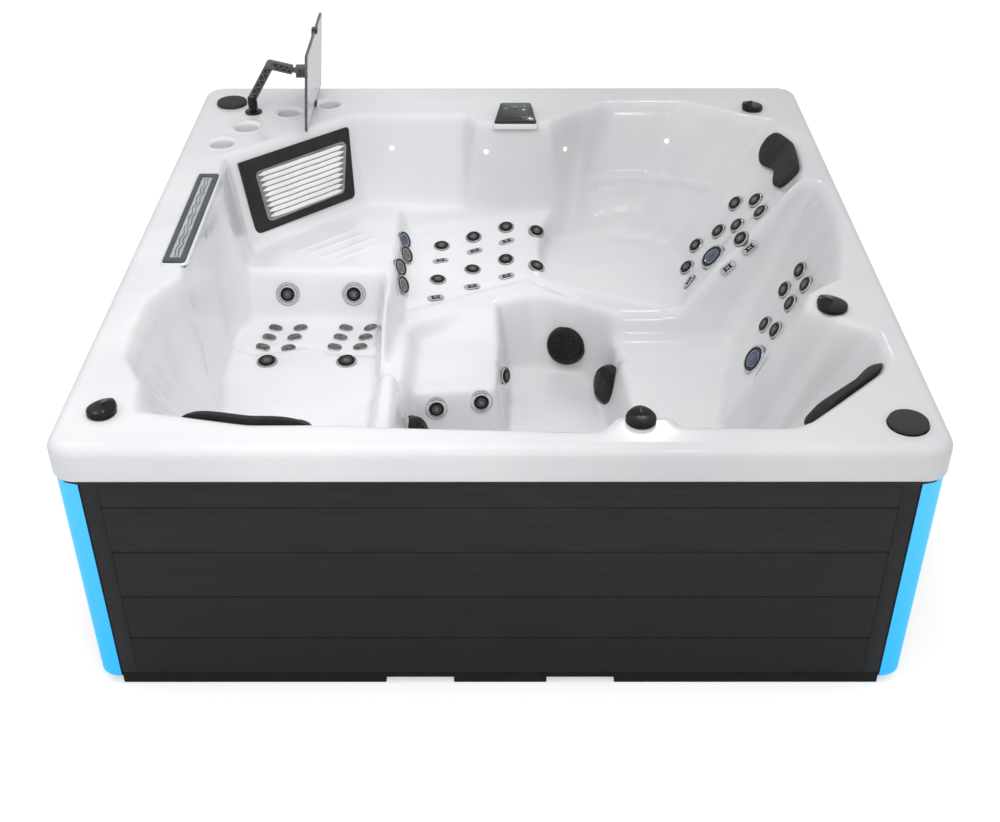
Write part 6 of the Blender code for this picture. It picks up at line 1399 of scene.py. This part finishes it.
# cup wells, each with a moulded ring round it
cupProfile = ((0.0640, 0.0002), (0.0600, 0.0012), (0.0560, 0.0024), (0.0520, 0.0026), (0.0480, 0.0012),
              (0.0450, -0.0018), (0.0425, -0.0032), (0.0405, -0.0038), (0.0390, -0.0055), (0.0382, -0.010),
              (0.0380, -0.020), (0.0378, -0.040), (0.0372, -0.054), (0.0350, -0.0595), (0.031, -0.0615),
              (0.01, -0.062))


def makeCups():
    build = Builder()
    for x, y in cups:
        build.add(turnedShape(cupProfile, cupSizes["sides"]), "acrylic",
                  Matrix.Translation((x, y, rim["height"])))
    settle(build.finish("cupWells", 180), "tub", "acrylic")


# small glowing discs in the wall of the lounger and the ledge, which make bright white spots there
wallLights = {"spots": ((-0.394, 0.831, 0.697), (-0.052, 0.777, 0.706), (0.234, 0.824, 0.696),
                        (0.612, 0.911, 0.688)),
              "profile": ((0.0072, -0.003), (0.0072, 0.0012), (0.0062, 0.0026), (0.0040, 0.0038),
                          (0.001, 0.0044)),
              "power": 2.2}


def makeWallGlowSpots():
    looks["wallGlowSpot"] = addEmission(makeFinish("wallGlowSpot", 0.8, 0.75, 0.85, 90.0, 0.2), 1.0,
                                     wallLights["power"])
    build = Builder()
    for spot in wallLights["spots"]:
        build.add(turnedShape(wallLights["profile"], 20), "wallGlowSpot", upright(*seatOn(spot, 0.03)))
    settle(build.finish("wallLights"), "tub", "diffuser")


makeCups()
makeWallGlowSpots()
print("cup wells and wall lights made")


# corner lights: a lit quarter column, with a dark backing that fills it and the seams beside the posts
lightSizes = {"radiusX": 0.063, "radiusY": 0.053, "wall": 0.004, "foot": 0.0303, "top": 0.70, "seam": 0.0035,
              "centreX": 1.0315, "centreY": 1.0715, "clearance": 0.0002, "steps": 24}
lightCorners = {"light_front_left": (-1, -1), "light_front_right": (1, -1), "light_back_right": (1, 1),
                "light_back_left": (-1, 1)}


def makeLights():
    wall, radiusX, radiusY, foot = (lightSizes[key] for key in ("wall", "radiusX", "radiusY", "foot"))
    clear = lightSizes["clearance"]
    arc = [math.radians(90 * k / 16) for k in range(17)]
    outer = [(radiusX * math.cos(a), radiusY * math.sin(a)) for a in arc]
    inner = [((radiusX - wall) * math.cos(a), (radiusY - wall) * math.sin(a)) for a in arc]
    gap, lapX, lapY = lightSizes["seam"] - 0.0003, radiusX - 0.0015, radiusY - 0.0015
    innerX, innerY = radiusX - wall - clear, radiusY - wall - clear
    backing = [(-gap, -gap), (lapX, -gap), (lapX, -clear), (innerX, 0.0)]
    backing += [((innerX - clear) * math.cos(a), (innerY - clear) * math.sin(a)) for a in arc[1:-1]]
    backing += [(0.0, innerY), (-clear, lapY), (-gap, lapY)]
    for node, (sx, sy) in lightCorners.items():
        piece = Builder()
        for section, look, low, steps in ((outer + inner[::-1], "diffuser", foot, lightSizes["steps"]),
                                          (backing, "frame", foot + 0.001, 1)):
            loops = []
            for k in range(steps + 1):
                level = low + (lightSizes["top"] - low) * k / steps
                loops.append([(sx * (lightSizes["centreX"] + x), sy * (lightSizes["centreY"] + y), level)
                              for x, y in (section if sx * sy > 0 else section[::-1])])
            piece.add(loftShape(loops), look)
        settle(piece.finish(node.replace("light_", "glow").replace("_", "")), "tub", "diffuser", node)


makeLights()
print("corner lights made")


# tablet arm: two open trusses of grey chords and struts on a dark core
armSizes = {
    "foot": Vector((-0.8921, 0.8903, 0.862)), "elbow": Vector((-0.815, 0.8903, 0.989)),
    "wrist": Vector((-0.716, 0.8903, 0.965)), "tongue": 0.0235, "chord": 0.0058, "strut": 0.0040,
}
trusses = {  # ends, width, bays, what its ends are moved along it, and its pins: end, radius and half height
    "lower_arm": ("foot", "elbow", 0.030, 5, (0.004, 0.0), ((0, 0.0125, 0.0085), (1, 0.0075, 0.0108))),
    "upper_arm": ("elbow", "wrist", 0.031, 4, (0.0, -0.022), ((0, 0.0156, 0.0096),)),
}


# a flat bar from one point to another in the truss's plane
def addBar(build, place, a, b, thick, depth, look):
    a, b = Vector(a), Vector(b)
    line = (b - a).normalized()
    side = Vector((-line.y, line.x)) * thick / 2
    loops = [[(p.x, p.y, z) for p in (a - side, b - side, b + side, a + side)] for z in (-depth, depth)]
    build.add(loftShape(loops), look, place)


# the end of a CAD node past a plane, kept as it is
def keepEnd(build, node, spot, direction, look):
    grid = bmesh.new()
    grid.from_mesh(frame["nodes"][node].data)
    bmesh.ops.bisect_plane(grid, geom=grid.verts[:] + grid.edges[:] + grid.faces[:], clear_inner=True,
                           plane_co=spot, plane_no=direction)
    grid.verts.index_update()
    build.add(([v.co.copy() for v in grid.verts], [[v.index for v in face.verts] for face in grid.faces]),
              look)
    grid.free()


def makeArm():
    for node, (startKey, endKey, width, bays, moved, pins) in trusses.items():
        start, end = armSizes[startKey], armSizes[endKey]
        unit = (end - start).normalized()
        length = (end - start).length
        place = axesAt(unit, Vector((-unit.z, 0, unit.x)), Vector((0, -1, 0)), start)
        build = Builder()
        low, high, half = moved[0], length + moved[1], width / 2
        addBar(build, place, (low, 0), (high, 0), width - 0.006, 0.0055, "screenRim")
        chord = half - armSizes["chord"] / 2
        for side in (-chord, chord):
            addBar(build, place, (low, side), (high, side), armSizes["chord"], 0.0088, "arm")
        for k in range(bays * 2):  # the struts zigzag
            near, far = (low + (high - low) * (k + s) / (bays * 2) for s in (0, 1))
            reach = (half - 0.005) * (1 if k % 2 else -1)
            addBar(build, place, (near, reach), (far, -reach), armSizes["strut"], 0.0080, "arm")
        for share, radius, rise in pins:
            pin = [(0.001, -rise), (radius - 0.001, -rise), (radius, 0.001 - rise), (radius, rise - 0.001),
                   (radius - 0.001, rise), (0.001, rise)]
            build.add(turnedShape(pin, 28), "arm", place @ Matrix.Translation((length * share, 0, 0)))
        if node == "lower_arm":  # the black swivel collar
            collar = [(0.0165, 0.828), (0.0165, 0.866), (0.0150, 0.869), (0.001, 0.869)]
            build.add(turnedShape(collar, 32), "fitting", Matrix.Translation((start.x, start.y, 0)))
        else:  # the tongue and eye at the wrist stay as in the CAD
            keepEnd(build, node, end - unit * armSizes["tongue"], unit, "arm")
        settle(build.finish(node.split("_")[0] + "Truss"), node, "arm", node)


screenSizes = {"width": 0.44, "height": 0.277, "thick": 0.009, "centre": (-0.6655, 0.90, 0.9615),
               "lean": 4.8, "bodyCorner": 0.008, "rimCorner": 0.007, "glassCorner": 0.003}


def makeScreen():
    lean = math.radians(screenSizes["lean"])
    facing = Vector((math.cos(lean), 0, -math.sin(lean)))  # the face looks right and a little down
    upward = Vector((math.sin(lean), 0, math.cos(lean)))
    place = axesAt(Vector((0, 1, 0)), upward, facing, screenSizes["centre"])
    halfX, halfY, half = screenSizes["width"] / 2, screenSizes["height"] / 2, screenSizes["thick"] / 2
    build = Builder()
    body = ((0.003, -half), (0.0008, -half + 0.0008), (0.0, -half + 0.0026), (0.0, half - 0.0014),
            (0.0006, half - 0.0004), (0.0016, half))
    build.add(loftShape(insetStack(halfX, halfY, screenSizes["bodyCorner"], body, 6)), "screenEdge", place)
    edge = ((0.002, half - 0.0005), (0.0024, half + 0.0004), (0.0065, half + 0.0004), (0.0066, half - 0.0002))
    edge = insetStack(halfX, halfY, screenSizes["rimCorner"], edge, 6)
    build.add(loftShape(edge, False, False), "screenRim", place)
    glass = ((0.0064, half - 0.0004), (0.0064, half + 0.0001))
    glass = insetStack(halfX, halfY, screenSizes["glassCorner"], glass, 4)
    build.add(loftShape(glass, False), "screenFace", place)
    settle(build.finish("tabletScreen"), "tablet", "screen", "screen")


# CAD nodes whose shape is right and whose edges get softened: body, finish, width, segments and angle
softened = {
    "pan_block": ("pan", "arm", 0.0008), "arm_base": ("tub", "fitting", 0.0012),
    "screen_holder": ("tablet", "holder", 0.0006), "panel_front": ("tub", "board", 0.0012, 2, 12),
    "panel_back": ("tub", "board", 0.0012, 2, 12), "panel_left": ("tub", "board", 0.0012, 2, 12),
    "panel_right": ("tub", "board", 0.0012, 2, 12), "cabinet_frame": ("tub", "frame", 0.0010, 1),
    "base_pan": ("tub", "tray", 0.002, 2),
}


# every other CAD node takes the finish of its slot
def dressNodes():
    for name, node in frame["nodes"].items():
        look = looks.get(slotOf[name])
        if look:
            for k in range(len(node.data.materials)):
                node.data.materials[k] = look


makeArm()
makeScreen()
for softNode, softWays in softened.items():
    refined(softNode, *softWays)
dressNodes()
print("arm, screen, boards and carried nodes made")
